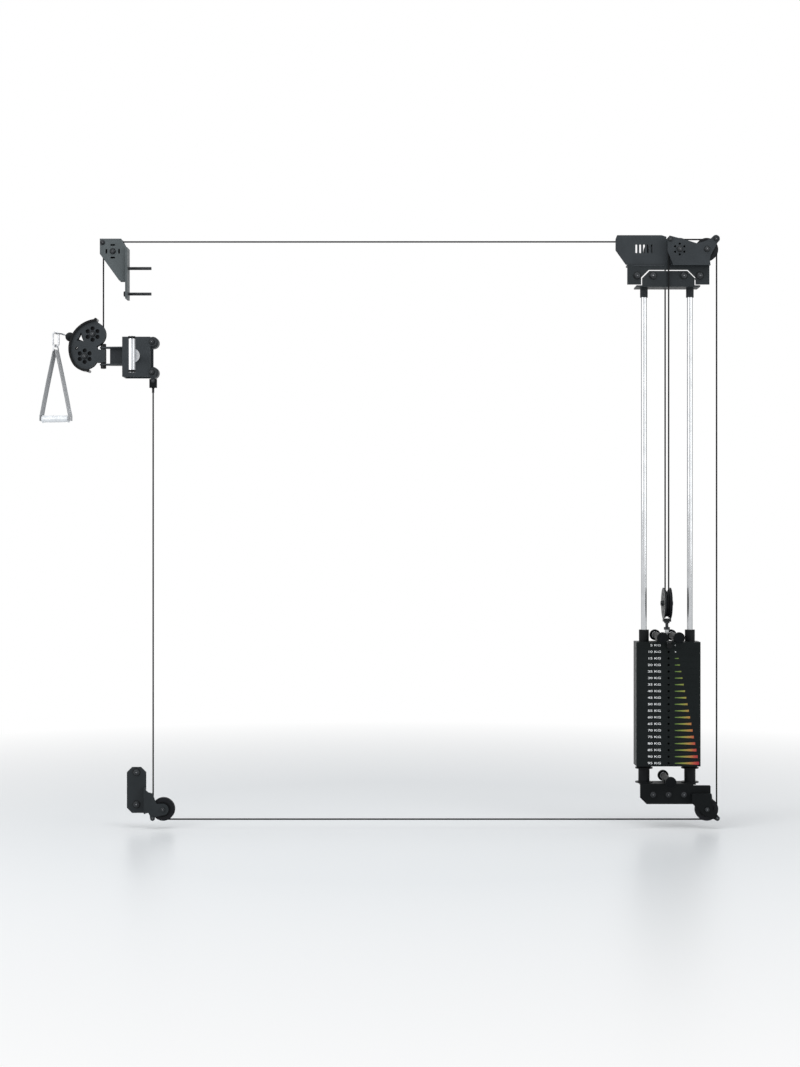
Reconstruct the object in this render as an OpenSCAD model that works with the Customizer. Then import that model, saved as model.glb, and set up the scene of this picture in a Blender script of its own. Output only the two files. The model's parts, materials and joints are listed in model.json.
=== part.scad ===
/* [Mounting tube] */
// Width of the square tube that the brackets and the carriage fit
tube_w = 75; // [70:0.5:80]
// From the centre of the weight stack to the centre line of the left column
column_x = 2071.7; // [1600:1:2600]
// From the centre line of the lower beam to the centre line of the upper beam
beam_h = 2021.5; // [1850:0.5:2300]
// Shank radius of the bolts that hold the brackets
mount_bolt_r = 6; // [5:0.5:7]
// Length of a bracket bolt's shank behind the face that it clamps
mount_bolt_len = 90; // [85:1:110]
// Shank radius of the three base bolts
base_bolt_r = 5; // [4:0.5:6]
// Spacing of the three base bolts
base_bolt_pitch = 60; // [55:1:65]

/* [Cable and pulleys] */
// Diameter of the steel cable
cable_d = 6; // [5:0.25:7]
// Radius of the cable's centre line on a pulley
groove_r = 40; // [36:0.5:42]
// From the groove's centre line out to the pulley's rim
rim_lip = 5; // [4:0.5:5.5]
// Width of a pulley
pulley_w = 20; // [16:1:22]
// Radius of the axle bolts
axle_r = 5; // [4:0.5:6]
// Radius of the cable's centre line on the travelling pulley
block_groove_r = 50; // [46:1:54]
// Height of the travelling pulley's axle
block_z = 744; // [730:1:800]
// From the top of the upper beam up to the two head pulleys of the front loop
head_z = 62; // [61:1:71]
// From the top of the upper beam up to the head pulley of the top run
head_left_z = 68; // [61:1:76]
// From the top of the upper beam up to the upper left pulley
upper_z = 60; // [51:1:71]
// Height of the two low pulleys
low_z = -54.5; // [-60:0.5:-50]
// From the left column's face out to the cable's upper drop
drop_out = 97.8; // [95:0.5:102]
// From the left column's face in to the cable's lower rise
rise_in = 28.2; // [26:0.5:32]
// From the end of the head's mounting plate out to the cable's right hand run
right_run_out = 26.5; // [22:0.5:32]

/* [Weight stack] */
// Width of a weight plate
weight_w = 250; // [240:1:260]
// Depth of a weight plate
weight_d = 100; // [90:1:104]
// Thickness of a weight plate
weight_t = 25.2; // [22:0.1:26]
// Number of weight plates under the head plate
weight_count = 18; // [12:1:18]
// Height of the underside of the lowest weight plate
stack_z = 110.3; // [104:0.1:130]
// Radius of a guide rod
rod_r = 11; // [9:0.5:12]
// From the stack's centre to a guide rod
rod_x = 90; // [85:1:95]
// Radius of the selector stem
stem_r = 12; // [10:0.5:14]
// Radius of the selector pin
selector_r = 4.5; // [3.5:0.25:5]
// Length of the band pegs from knob to knob
peg_len = 240; // [220:2:260]
// Radius of a band peg
peg_r = 12.5; // [10:0.5:14]
// Radius of a band peg's knob
knob_r = 21.5; // [18:0.5:23]

/* [Brackets] */
// Thickness of the bracket plates
plate_t = 6; // [5:0.5:6.5]
// Half the width of the head's mounting plate
head_half_w = 160; // [150:1:160]
// Half the width of the notch in the head's mounting plate
notch_half_w = 106; // [102:1:108]
// Gap between the notch and the rod bracket inside it
notch_gap = 4; // [2:0.5:6]
// From the stack's centre to a head mounting bolt
head_bolt_x = 122; // [120:1:126]
// From the stack's centre to a rod bracket bolt
rod_bolt_x = 60; // [55:1:65]
// From the centre line of the upper beam down to the lower bolt of the upper left bracket
upper_bolt_z = 66.5; // [61.5:0.5:71.5]
// Spacing of the two bolts of the upper left bracket
upper_bolt_pitch = 100; // [98:1:104]
// Height of the upper bolt of the lower left bracket
lower_bolt_z = 87.5; // [80:0.5:90]
// Spacing of the two bolts of the lower left bracket
lower_bolt_pitch = 125; // [120:1:130]

/* [Carriage] */
// From the centre line of the upper beam down to the lock pin's axis
pin_drop = 321.5; // [311.5:0.5:331.5]
// Radius of the lock pin's nose
pin_r = 8; // [7:0.5:9]
// How far the lock pin pulls out
pin_travel = 22; // [18:1:26]
// Height of the carriage's plates
carriage_h = 155; // [150:1:170]
// From the column's faces to the carriage's plates
pad_t = 8; // [6:0.5:10]
// Radius of a carriage roller
roller_r = 23; // [20:0.5:26]
// From one roller's axle to the other's
roller_gap = 118; // [110:1:122]
// Length of the grip bar on the lock pin
grip_bar_len = 129; // [110:1:140]
// From the column's front face to the grip bar's axis
grip_bar_out = 138; // [130:1:150]

/* [Swivel head] */
// From the lock pin's axis up to the swivel head's upper axle
swivel_up = 96.5; // [90:0.5:100]
// Radius of the pivot bolt of the swivel head
pivot_r = 6; // [5:0.25:7]
// Outer radius of the tube that turns on the pivot bolt
pivot_tube_r = 10; // [8.5:0.5:11]
// Outer radius of the guard rim
guard_r = 116; // [114:0.5:118]
// Radius of the ball stop
ball_r = 18; // [14:0.5:20]
// Angle at which the cable leaves the swivel head
exit_a = 20; // [14:0.5:24]

/* [Handle] */
// Length of the hand grip
grip_len = 112; // [100:1:130]
// Radius of the hand grip
grip_r = 15.5; // [13:0.5:17]
// Width of the webbing of the strap
strap_w = 38; // [30:1:40]
// Thickness of the webbing of the strap
strap_t = 3.5; // [2.5:0.25:4.5]
// From the strap's top down to the grip's axis
strap_drop = 272; // [250:1:300]
// Angle at which the handle hangs turned about the vertical
handle_turn = 15; // [0:1:25]

/* [Hidden] */
$fn = 48;
// clearances
seat = 0.3;
run = 0.05;
hole_slack = 0.5;
side_gap = 1;
cable_r = cable_d / 2;
// cable planes, at the middle of the tube and half the travelling pulley's width apart from it
mid_y = tube_w / 2;
front_y = mid_y - block_groove_r;
back_y = mid_y + block_groove_r;
rim_r = groove_r + rim_lip;
bush_r = axle_r + 3;
bearing_t = 6;
// faces of the tube
col_left = -column_x - tube_w / 2;
col_right = -column_x + tube_w / 2;
low_top = tube_w / 2;
top_under = beam_h - tube_w / 2;
top_over = beam_h + tube_w / 2;
loop_z = top_over + head_z;
left_z = top_over + head_left_z;
upper_wheel_z = top_over + upper_z;
upper_hole_z = beam_h - upper_bolt_z;
pin_z = beam_h - pin_drop;
swivel_z = pin_z + swivel_up;
right_run_x = head_half_w + right_run_out;
drop_x = col_left - drop_out;
rise_x = col_right + rise_in;
// pulley centres in the plane of the view, as x and z
head_left_c = [-groove_r, left_z];
head_mid_c = [groove_r, loop_z];
head_right_c = [right_run_x - groove_r, loop_z];
base_c = [right_run_x - groove_r, low_z];
lower_c = [rise_x + groove_r, low_z];
upper_c = [drop_x + groove_r, upper_wheel_z];
swivel_up_c = [drop_x - groove_r, swivel_z];
swivel_low_c = swivel_up_c - [0.717 * groove_r + 0.05 * rim_r, 1.923 * rim_r];
// keeper bolts that hold the cable in its groove
base_keeper = base_c + [40, -34.5];
lower_keeper = lower_c + [-40, -34.5];
upper_keeper = upper_c + [-40, 34];
head_keeper = head_mid_c + [-37.4, 39];
head_ear = head_right_c + [34.5, 40];
keeper_r = axle_r - 1;
// plate positions along y
cover_y = front_y - pulley_w / 2 - 5.5 - plate_t;
fork_y = mid_y - pulley_w / 2 - side_gap - plate_t;
fork_back_y = mid_y + pulley_w / 2 + side_gap;
side_y = mid_y - 25.5;
side_back_y = mid_y + 25.5 - plate_t;
rear_y = back_y - pulley_w / 2 - side_gap - plate_t;
rear_back_y = back_y + pulley_w / 2 + side_gap;
// head and upper bracket
loop_left = head_mid_c.x - rim_r - 1.5;
notch_z = top_over - 15;
shelf_top = top_over + plate_t;
upper_plate_t = 8;
// weight stack
weight_pitch = weight_t + seat;
head_plate_z = stack_z + weight_count * weight_pitch;
head_plate_top = head_plate_z + weight_t;
base_top_t = 5;
base_top = low_top + base_top_t;
base_half = rod_x + 20;
base_right = base_c.x - rim_r - 4;
bumper_t = 8;
spool_top = stack_z - seat - bumper_t;
peg_x = 32;
// travelling block
block_gap = pulley_w + 4;
block_plate_t = 3;
block_disc_r = block_groove_r + 11;
block_foot_z = block_z - 72;
block_yoke_t = 12;
nut_z = head_plate_top + 46;
// carriage
carriage_z = pin_z - 72;
carriage_front_y = -pad_t - plate_t;
carriage_back_y = tube_w + pad_t;
carriage_left_x = col_left - 17.3;
carriage_right_x = col_right + 17;
pin_c = [-column_x, pin_z];
roller_x = col_right + roller_r;
roller_z = pin_z - 55;
anchor_z = roller_z - 61;
anchor_h = 34;
anchor_d = 18;
anchor_y = carriage_front_y - 6;
anchor_bolt_c = [rise_x, anchor_z + 26];
barrel_end_y = -112;
barrel_r = pin_r + 6;
flange_t = 5;
flange_r = 27.5;
collar_y = carriage_front_y - 16;
collar_t = 4;
shaft_r = pin_r - 3;
// swivel head
arm_z = pin_z - 25;
arm_h = 72;
guard_t = 8;
guard_lip = 8;
roll_r = guard_t * 0.75;
// the guard's rim runs round both wheels, and its lower stretch is a smaller arc that meets it smoothly
wheel_gap = swivel_low_c - swivel_up_c;
guard_reach = guard_r - guard_t - rim_r - 2;
guard_side = sqrt(pow(guard_reach, 2) - pow(norm(wheel_gap) / 2, 2));
guard_c = swivel_up_c + wheel_gap / 2 + guard_side / norm(wheel_gap) * [-wheel_gap.y, wheel_gap.x];
guard_low_c = swivel_low_c + 8 / guard_reach * (guard_c - swivel_low_c);
guard_low_r = guard_r - norm(guard_c - guard_low_c);
guard_turn_a = 360 + atan2(guard_low_c.y - guard_c.y, guard_low_c.x - guard_c.x);
exit_dir = [-cos(exit_a), sin(exit_a)];
exit_from = swivel_up_c + groove_r * [-sin(exit_a), -cos(exit_a)];
ball_c = exit_from + 82.2 * exit_dir;
// handle
eye_r = 10.5;
wire_r = 3.5;
eye_wire_r = 2;
eye_c = ball_c + [-45, (45 - eye_r) * tan(exit_a)];
snap_half = 11;
snap_len = 34;
snap_x = eye_c.x - eye_r;
snap_top_z = eye_c.y + eye_wire_r + seat + wire_r - snap_half;
snap_bottom_z = snap_top_z - snap_len - snap_half;
gate_z = snap_bottom_z + snap_half + seat + wire_r;
ring_r = strap_w / 2 + 5;
ring_wire_r = 2.5;
ring_z = snap_bottom_z + wire_r + seat + ring_wire_r - ring_r;
strap_top_z = ring_z + ring_wire_r + seat + strap_t;
grip_z = strap_top_z - strap_drop;
strap_half = grip_len / 2 + 5;
core_r = 5;

// a round bar between two points
module bar(p, q, r) {
    d = q - p;
    translate(p)
        rotate([0, acos(d.z / norm(d)), atan2(d.y, d.x)])
            cylinder(h = norm(d), r = r);
}

// a round bar along y at a point in the plane of the view
module pin_y(c, y0, y1, r) {
    bar([c.x, y0, c.y], [c.x, y1, c.y], r);
}

// an outline in the plane of the view, thickened along y
module plate_y(y, t = plate_t) {
    translate([0, y + t, 0])
        rotate([90, 0, 0])
            linear_extrude(t)
                children();
}

// a disc in an outline
module dot(c, r) {
    translate(c)
        circle(r = r);
}

// a six sided head or nut along y
module hex_y(c, y, h, r) {
    translate([c.x, y + h, c.y])
        rotate([90, 0, 0])
            cylinder(h = h, r = 1.75 * r, $fn = 6);
}

// a bolt along y with its head in front of y0
module bolt_y(c, y0, y1, r) {
    hex_y(c, y0 - 2 - 1.2 * r, 1.2 * r, r);
    pin_y(c, y0 - 2, y0, 2 * r);
    pin_y(c, y0 - 2 - r, y1, r);
}

// a bracket's bolt along y, thicker where it fills the plate's hole
module bracket_bolt_y(c, t, r) {
    bolt_y(c, -t, 0, r + hole_slack - run);
    pin_y(c, -t, mount_bolt_len, r);
}

// a bolt along y that is closed by a nut
module bolt_and_nut_y(c, y0, y1, r) {
    bolt_y(c, y0, y1 + r, r);
    hex_y(c, y1, 1.4 * r, r);
}

// a slot with round ends
module slot_2d(c, len, w, a) {
    translate(c)
        rotate(a) {
            square([len - w, w], center = true);
            dot([len / 2 - w / 2, 0], w / 2);
            dot([w / 2 - len / 2, 0], w / 2);
        }
}

// a ring of equal holes
module hole_ring_2d(c, ring_r, hole_r) {
    for (a = [30:60:330])
        dot(c + ring_r * [cos(a), sin(a)], hole_r);
}

// a pulley wheel along z with a round groove, a hub with a bearing in it and a thinner web
module pulley_z(groove, w, bore, lip) {
    hub = bore + bearing_t;
    rotate_extrude()
        translate([bore, -w / 4])
            square([bearing_t - run, w / 2]);
    rotate_extrude()
        difference() {
            translate([hub, -w / 2])
                square([groove + lip - hub, w]);
            dot([groove, 0], cable_r + seat);
            polygon([
                [groove, -cable_r - seat], [groove + lip + 1, -w * 0.32],
                [groove + lip + 1, w * 0.32], [groove, cable_r + seat]
            ]);
            for (s = [-1, 1])
                translate([hub + 4, s > 0 ? w / 4 : -w / 2 - 1])
                    square([groove - hub - 15, w / 4 + 1]);
        }
}

// a pulley wheel along y
module pulley_y(c, y) {
    color([0.09, 0.1, 0.11])
        translate([c.x, y, c.y])
            rotate([90, 0, 0])
                pulley_z(groove_r, pulley_w, bush_r + run, rim_lip);
}

// a bush along y between two plates
module bush_y(c, y0, y1) {
    difference() {
        pin_y(c, y0, y1, bush_r);
        pin_y(c, y0 - 1, y1 + 1, axle_r);
    }
}

// a short collar over the place where a turn of cable meets a straight run
module cable_joint(p, d) {
    bar(p - 2.5 * d, p + 2.5 * d, cable_r + 3 * run);
}

// a turn of cable in the plane of the view
module cable_turn(c, y, a0, a1) {
    translate([c.x, y, c.y])
        rotate([90, 0, 0])
            rotate([0, 0, a0])
                rotate_extrude(angle = a1 - a0)
                    dot([groove_r, 0], cable_r);
}

// a peg along y with a rounded knob at each end
module peg(x, z) {
    y0 = mid_y - peg_len / 2;
    y1 = mid_y + peg_len / 2;
    pin_y([x, z], y0 + 1, y1 - 1, peg_r);
    for (y = [y0 + 8, y1 - 8])
        translate([x, y, z])
            rotate([90, 0, 0])
                rotate_extrude() {
                    translate([0, -8])
                        square([knob_r - 3, 16]);
                    translate([0, -5])
                        square([knob_r, 10]);
                    dot([knob_r - 3, 5], 3);
                    dot([knob_r - 3, -5], 3);
                }
}

// the base bracket that carries the rods on the lower beam
module base_bracket() {
    color([0.1, 0.11, 0.12]) {
        plate_y(-plate_t)
            difference() {
                polygon([
                    [-base_half, base_top], [base_right, base_top], [base_right, -37],
                    [25 - base_half, -37], [-base_half, -12]
                ]);
                for (s = [-1:1])
                    dot([s * base_bolt_pitch, 0], base_bolt_r + hole_slack);
            }
        difference() {
            union() {
                translate([-base_half, -plate_t, low_top])
                    cube([base_half + base_right, tube_w + 2 * plate_t, base_top_t]);
                translate([-base_half, 0, low_top])
                    cube([base_half + rod_x + 18, tube_w + plate_t, base_top_t]);
            }
            for (s = [-1, 1])
                bar([s * rod_x, mid_y, 0], [s * rod_x, mid_y, base_top + 9], rod_r + run);
        }
        // saddle under the peg
        difference() {
            translate([-peg_r - 3, 10, low_top])
                cube([2 * peg_r + 6, tube_w - 20, base_top_t + peg_r]);
            pin_y([0, base_top + peg_r + 1], 0, tube_w, peg_r + run);
        }
    }
}

// the stepped plate in front of the right hand low pulley
module base_pulley_plate() {
    step_z = 5.6;
    low_z0 = step_z - plate_t;
    x0 = base_right;
    x1 = base_c.x + 18;
    lap = 9;
    color([0.1, 0.11, 0.12]) {
        plate_y(-plate_t)
            polygon([[x0, low_z0], [x1, low_z0], [x1, 33], [x1 - 3, 36], [x0, 36]]);
        translate([x0, cover_y, low_z0])
            cube([x1 - x0, -cover_y, plate_t]);
        translate([x0 - lap, cover_y, low_z0])
            cube([x1 - x0 + lap, -cover_y - plate_t, plate_t]);
        plate_y(cover_y)
            difference() {
                union() {
                    polygon([
                        [x0 - lap, step_z], [x1, step_z], [x1 + 4, -30],
                        base_c + [25, -3], base_keeper + [8, 5], base_keeper + [-7, -6],
                        base_c + [-5, -25], [x0 + 4, -45], [x0 - lap, -30]
                    ]);
                    dot(base_c, 25);
                    dot(base_keeper, 9);
                }
                dot(base_c, axle_r + run);
                dot(base_keeper, keeper_r + run);
            }
    }
}

// the band peg on the base bracket
module base_peg() {
    color([0.08, 0.09, 0.1])
        peg(0, base_top + peg_r + 1);
}

module base_pulley() {
    pulley_y(base_c, front_y);
}

// the two guide rods
module guide_rods() {
    color([0.85, 0.86, 0.88])
        for (s = [-1, 1])
            bar([s * rod_x, mid_y, low_top], [s * rod_x, mid_y, top_under], rod_r);
}

// the flanged spacers that the stack stands on
module stack_spools() {
    rim_t = 4;
    color([0.07, 0.08, 0.09])
        for (s = [-1, 1])
            translate([s * rod_x, mid_y, base_top])
                difference() {
                    union() {
                        cylinder(h = spool_top - base_top, r = 2 * rod_r);
                        cylinder(h = rim_t, r = 3.1 * rod_r);
                        translate([0, 0, spool_top - base_top - rim_t])
                            cylinder(h = rim_t, r = 3.1 * rod_r);
                    }
                    translate([0, 0, -1])
                        cylinder(h = spool_top, r = rod_r + run);
                }
}

// the rubber rings between the spacers and the stack
module stack_bumpers() {
    bulge = bumper_t / 2;
    color([0.04, 0.04, 0.05])
        for (s = [-1, 1])
            translate([s * rod_x, mid_y, spool_top])
                rotate_extrude() {
                    translate([rod_r + run, 0])
                        square([1.2 * rod_r - run, bumper_t]);
                    translate([2.2 * rod_r, bulge])
                        circle(r = bulge);
                }
}

// the outline of a weight plate
module weight_2d() {
    c = 4;
    x = weight_w / 2;
    y = weight_d / 2;
    difference() {
        polygon([
            [-x + c, -y], [x - c, -y], [x, -y + c], [x, y - c],
            [x - c, y], [-x + c, y], [-x, y - c], [-x, -y + c]
        ]);
        for (s = [-1, 1])
            dot([s * rod_x, 0], rod_r + 1);
    }
}

// one weight plate with its selector hole
module weight(z, middle_r) {
    difference() {
        translate([0, mid_y, z])
            linear_extrude(weight_t)
                difference() {
                    weight_2d();
                    dot([0, 0], middle_r);
                }
        pin_y([0, z + weight_t / 2], mid_y - weight_d / 2 - 1, mid_y, selector_r + run);
    }
}

// the weight plates under the head plate
module weight_plates() {
    color([0.07, 0.08, 0.08])
        for (i = [0:weight_count - 1])
            weight(stack_z + i * weight_pitch, stem_r + 1);
}

// the bracket under the upper beam that holds the rods
module rod_bracket() {
    half = notch_half_w - notch_gap;
    top = notch_z - notch_gap;
    cut = 28;
    lip_x = rod_x + 34;
    socket_z = top_under - plate_t - 36.5;
    color([0.11, 0.12, 0.13]) {
        plate_y(-plate_t)
            difference() {
                polygon([
                    [-half, top_under - plate_t], [half, top_under - plate_t], [half, top - cut],
                    [half - cut, top], [cut - half, top], [-half, top - cut]
                ]);
                for (s = [-1, 1])
                    dot([s * rod_bolt_x, beam_h], mount_bolt_r + hole_slack);
            }
        difference() {
            translate([-lip_x, -plate_t, top_under - plate_t])
                cube([2 * lip_x, tube_w + 2 * plate_t, plate_t]);
            for (s = [-1, 1])
                bar([s * rod_x, mid_y, socket_z], [s * rod_x, mid_y, top_under + 1], rod_r + run);
        }
        for (s = [-1, 1])
            difference() {
                bar([s * rod_x, mid_y, socket_z], [s * rod_x, mid_y, top_under - 1], rod_r + 4);
                bar([s * rod_x, mid_y, socket_z - 1], [s * rod_x, mid_y, top_under], rod_r + run);
                pin_y([s * rod_x, socket_z + 13.5], mid_y - rod_r - 9, mid_y - 1, 3);
            }
    }
}

// the head's mounting plate with the notch, and the shelf on top of the beam
module head_mount_plate() {
    cut = 30;
    corner = 60;
    bottom = top_under + 3;
    rear = rear_back_y + plate_t;
    color([0.11, 0.12, 0.13]) {
        plate_y(-plate_t)
            difference() {
                polygon([
                    [-head_half_w, bottom], [-notch_half_w, bottom], [-notch_half_w, notch_z - cut],
                    [cut - notch_half_w, notch_z], [notch_half_w - cut, notch_z],
                    [notch_half_w, notch_z - cut], [notch_half_w, bottom], [head_half_w, bottom],
                    [head_half_w, shelf_top], [-head_half_w, shelf_top]
                ]);
                for (s = [-1, 1])
                    dot([s * head_bolt_x, beam_h], mount_bolt_r + hole_slack);
            }
        difference() {
            union() {
                translate([0, 0, top_over])
                    linear_extrude(plate_t)
                        polygon([
                            [-head_half_w, -plate_t], [head_half_w, -plate_t], [head_half_w, rear],
                            [corner - head_half_w, rear], [-head_half_w, rear - corner]
                        ]);
                translate([10, cover_y + plate_t, top_over])
                    cube([head_half_w - 10, -cover_y - plate_t, plate_t]);
            }
            bar([0, back_y, top_over - 1], [0, back_y, top_over + plate_t + 1], 3 * cable_r);
        }
    }
}

// the left hand cover with a row of plain vent slots
module head_left_cover() {
    left = -head_half_w - 45;
    right = loop_left - seat;
    top = left_z + rim_r + 8;
    color([0.13, 0.14, 0.15])
        plate_y(0)
            difference() {
                polygon([
                    [left, shelf_top + 56], [left, top - 15], [left + 6, top],
                    [right - 19, top], [right, top - 6], [right, shelf_top], [left + 40, shelf_top]
                ]);
                for (i = [-2:2])
                    slot_2d([-94 + 15 * i, left_z], 34, 7, 90);
            }
}

// the outline shared by the two plates beside the front loop's head pulleys
module loop_2d(bottom) {
    union() {
        polygon([
            [16, bottom], [head_half_w, bottom],
            [head_half_w - 3, shelf_top + 16], [head_half_w, shelf_top + 31],
            head_ear + [8, -12], head_ear + [-9, 12], head_right_c + [15, 42], head_right_c + [-12, 29],
            head_right_c + [-41, 23], head_mid_c + [27, 35], head_keeper + [-1.5, 13.5],
            [loop_left, loop_z + 44], [loop_left, loop_z - 8]
        ]);
        dot(head_ear, 15);
        dot(head_right_c, 20);
    }
}

module loop_holes_2d() {
    dot(head_mid_c, axle_r + run);
    dot(head_right_c, axle_r + run);
    dot(head_keeper, keeper_r + run);
    dot(head_ear, keeper_r + run);
}

// the plate in front of the two pulleys of the front loop
module head_front_plate() {
    color([0.12, 0.13, 0.14])
        plate_y(cover_y)
            difference() {
                loop_2d(top_over);
                loop_holes_2d();
                hole_ring_2d(head_mid_c, 20.8, 4.4);
            }
}

// the plate behind the front loop and the two beside the top run's pulley
module head_back_plates() {
    color([0.1, 0.11, 0.12]) {
        plate_y(0)
            difference() {
                union() {
                    loop_2d(shelf_top);
                    translate([loop_left, shelf_top])
                        square([30, loop_z - shelf_top]);
                }
                loop_holes_2d();
            }
        for (y = [rear_y, rear_back_y])
            plate_y(y)
                difference() {
                    union() {
                        polygon([
                            head_left_c + [-24, 4], head_left_c + [24, 4],
                            [head_left_c.x + 32, shelf_top], [head_left_c.x - 42, shelf_top]
                        ]);
                        dot(head_left_c, 24);
                    }
                    dot(head_left_c, axle_r + run);
                }
    }
}

// the bolts that hold the base, the head, the rods' bracket and the two left hand brackets
module mount_bolts() {
    color([0.16, 0.17, 0.18]) {
        for (s = [-1:1])
            bracket_bolt_y([s * base_bolt_pitch, 0], plate_t, base_bolt_r);
        for (s = [-1, 1]) {
            bracket_bolt_y([s * head_bolt_x, beam_h], plate_t, mount_bolt_r);
            bracket_bolt_y([s * rod_bolt_x, beam_h], plate_t, mount_bolt_r);
        }
        for (i = [0, 1])
            bracket_bolt_y([-column_x, lower_bolt_z - i * lower_bolt_pitch], plate_t, mount_bolt_r);
        for (i = [0, 1])
            translate([col_left, mid_y, upper_hole_z + upper_bolt_pitch * i])
                rotate([0, 0, -90])
                    bracket_bolt_y([0, 0], upper_plate_t, mount_bolt_r);
    }
}

// the axle and keeper bolts of the fixed pulleys, and the screws in the rods' sockets
module pulley_bolts() {
    color([0.2, 0.21, 0.22]) {
        for (c = [head_mid_c, head_right_c])
            bolt_and_nut_y(c, cover_y, plate_t, axle_r);
        for (c = [head_keeper, head_ear])
            bolt_and_nut_y(c, cover_y, plate_t, keeper_r);
        bolt_and_nut_y(head_left_c, rear_y, rear_back_y + plate_t, axle_r);
        bolt_and_nut_y(upper_c, side_y, side_back_y + plate_t, axle_r);
        bolt_and_nut_y(upper_keeper, side_y, side_back_y + plate_t, keeper_r);
        for (c = [base_c, lower_c]) {
            hex_y(c, cover_y - 6, 6, axle_r);
            pin_y(c, cover_y - 3, -0.5, axle_r);
            pin_y(c, front_y + pulley_w / 2 + 0.5, -0.5, bush_r + 2);
        }
        for (c = [base_keeper, lower_keeper]) {
            hex_y(c, cover_y - 5, 5, keeper_r);
            pin_y(c, cover_y - 3, -3, keeper_r);
        }
        for (s = [-1, 1])
            pin_y([s * rod_x, top_under - plate_t - 23], mid_y - rod_r - 8, mid_y - rod_r - seat, 3 - run);
    }
}

// the bushes that the fixed pulleys turn on
module pulley_bushes() {
    color([0.7, 0.6, 0.35]) {
        for (c = [head_mid_c, head_right_c])
            bush_y(c, cover_y + plate_t, 0);
        bush_y(head_left_c, rear_y + plate_t, rear_back_y);
        bush_y(upper_c, side_y + plate_t, side_back_y);
        for (c = [base_c, lower_c])
            bush_y(c, cover_y + plate_t, front_y + pulley_w / 2 + 0.5);
    }
}

module head_pulley_left() {
    pulley_y(head_left_c, back_y);
}

module head_pulley_centre() {
    pulley_y(head_mid_c, front_y);
}

module head_pulley_right() {
    pulley_y(head_right_c, front_y);
}

// the upper left bracket: a plate on the column's side and two side plates
module upper_bracket() {
    plate_x = col_left - upper_plate_t;
    left = upper_c.x - rim_r - 5.5;
    top = upper_c.y + rim_r + 4.4;
    bottom = upper_c.y - 114;
    color([0.32, 0.35, 0.36]) {
        difference() {
            translate([plate_x, 0, upper_hole_z - 21.5])
                cube([upper_plate_t, tube_w, 2 * upper_bolt_pitch]);
            for (i = [0, 1])
                bar([plate_x - 1, mid_y, upper_hole_z + upper_bolt_pitch * i],
                    [col_left + 1, mid_y, upper_hole_z + upper_bolt_pitch * i], mount_bolt_r + hole_slack);
        }
        for (y = [side_y, side_back_y])
            plate_y(y)
                difference() {
                    polygon([
                        [left, top], [upper_c.x + 33, top], [plate_x, upper_c.y + 18],
                        [col_left, upper_c.y + 14], [col_left, bottom], [plate_x - 25, bottom],
                        [left, upper_c.y - 10]
                    ]);
                    dot(upper_c, axle_r + run);
                    dot(upper_keeper, keeper_r + run);
                    for (a = [0:90:270])
                        slot_2d(upper_c + 24.7 * [cos(a), sin(a)], 19, 7, a + 90);
                }
    }
}

module upper_pulley() {
    pulley_y(upper_c, mid_y);
}

// the lower left bracket: a plate on the column's front and a stepped arm
module lower_bracket() {
    x0 = col_left;
    x1 = col_right;
    z0 = lower_bolt_z - lower_bolt_pitch - 34;
    z1 = lower_bolt_z + 20;
    c = 20;
    arm_z = 28;
    color([0.12, 0.13, 0.14]) {
        plate_y(-plate_t)
            difference() {
                polygon([
                    [x0, z0 + c], [x0 + c, z0], [x1, z0], [x1, z1 - c],
                    [x1 - c, z1], [x0 + c, z1], [x0, z1 - c]
                ]);
                for (i = [0, 1])
                    dot([-column_x, lower_bolt_z - i * lower_bolt_pitch], mount_bolt_r + hole_slack);
            }
        translate([x1 - plate_t, cover_y, z0])
            cube([plate_t, -cover_y, arm_z - z0]);
        plate_y(cover_y)
            difference() {
                union() {
                    polygon([
                        [x1 - plate_t, arm_z], [x1 + 12, arm_z - 16], [rise_x, arm_z - 20],
                        [rise_x + 8, -14],
                        lower_c + [-24, 22], lower_c + [0, 22], lower_c + [8, -20.5],
                        lower_c + [-30, -29], lower_keeper + [4, -8], lower_keeper + [-9, 0],
                        lower_keeper + [-11, 12], [x1 + 12, z0 + 4], [x1 - plate_t, z0]
                    ]);
                    dot(lower_c, 22);
                    dot(lower_keeper, 9);
                }
                dot(lower_c, axle_r + run);
                dot(lower_keeper, keeper_r + run);
            }
    }
}

module lower_pulley() {
    pulley_y(lower_c, front_y);
}

// the cable's runs that stay in place: the top run and the front loop
module fixed_cable() {
    a = [upper_c.x, mid_y, upper_c.y + groove_r];
    b = [head_left_c.x, back_y, head_left_c.y + groove_r];
    top = loop_z + groove_r;
    low = low_z - groove_r;
    color([0.05, 0.05, 0.06]) {
        union() {
            cable_turn(upper_c, mid_y, 90, 180);
            bar(a, b, cable_r);
            cable_turn(head_left_c, back_y, 0, 90);
            cable_joint(a, [1, 0, 0]);
            cable_joint(b, [1, 0, 0]);
        }
        union() {
            cable_turn(head_mid_c, front_y, 90, 180);
            bar([head_mid_c.x, front_y, top], [head_right_c.x, front_y, top], cable_r);
            cable_turn(head_right_c, front_y, 0, 90);
            bar([right_run_x, front_y, loop_z], [right_run_x, front_y, low_z], cable_r);
            cable_turn(base_c, front_y, 270, 360);
            bar([base_c.x, front_y, low], [lower_c.x, front_y, low], cable_r);
            cable_turn(lower_c, front_y, 180, 270);
        }
    }
}

// the cable's upper drop from the upper left pulley to the swivel head
module cable_upper_drop() {
    color([0.05, 0.05, 0.06])
        bar([drop_x, mid_y, swivel_z], [drop_x, mid_y, upper_wheel_z], cable_r);
}

// the cable's lower rise from the lower left pulley to the anchor
module cable_lower_rise() {
    color([0.05, 0.05, 0.06])
        bar([rise_x, front_y, low_z], [rise_x, front_y, anchor_z + 12], cable_r);
}

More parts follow.
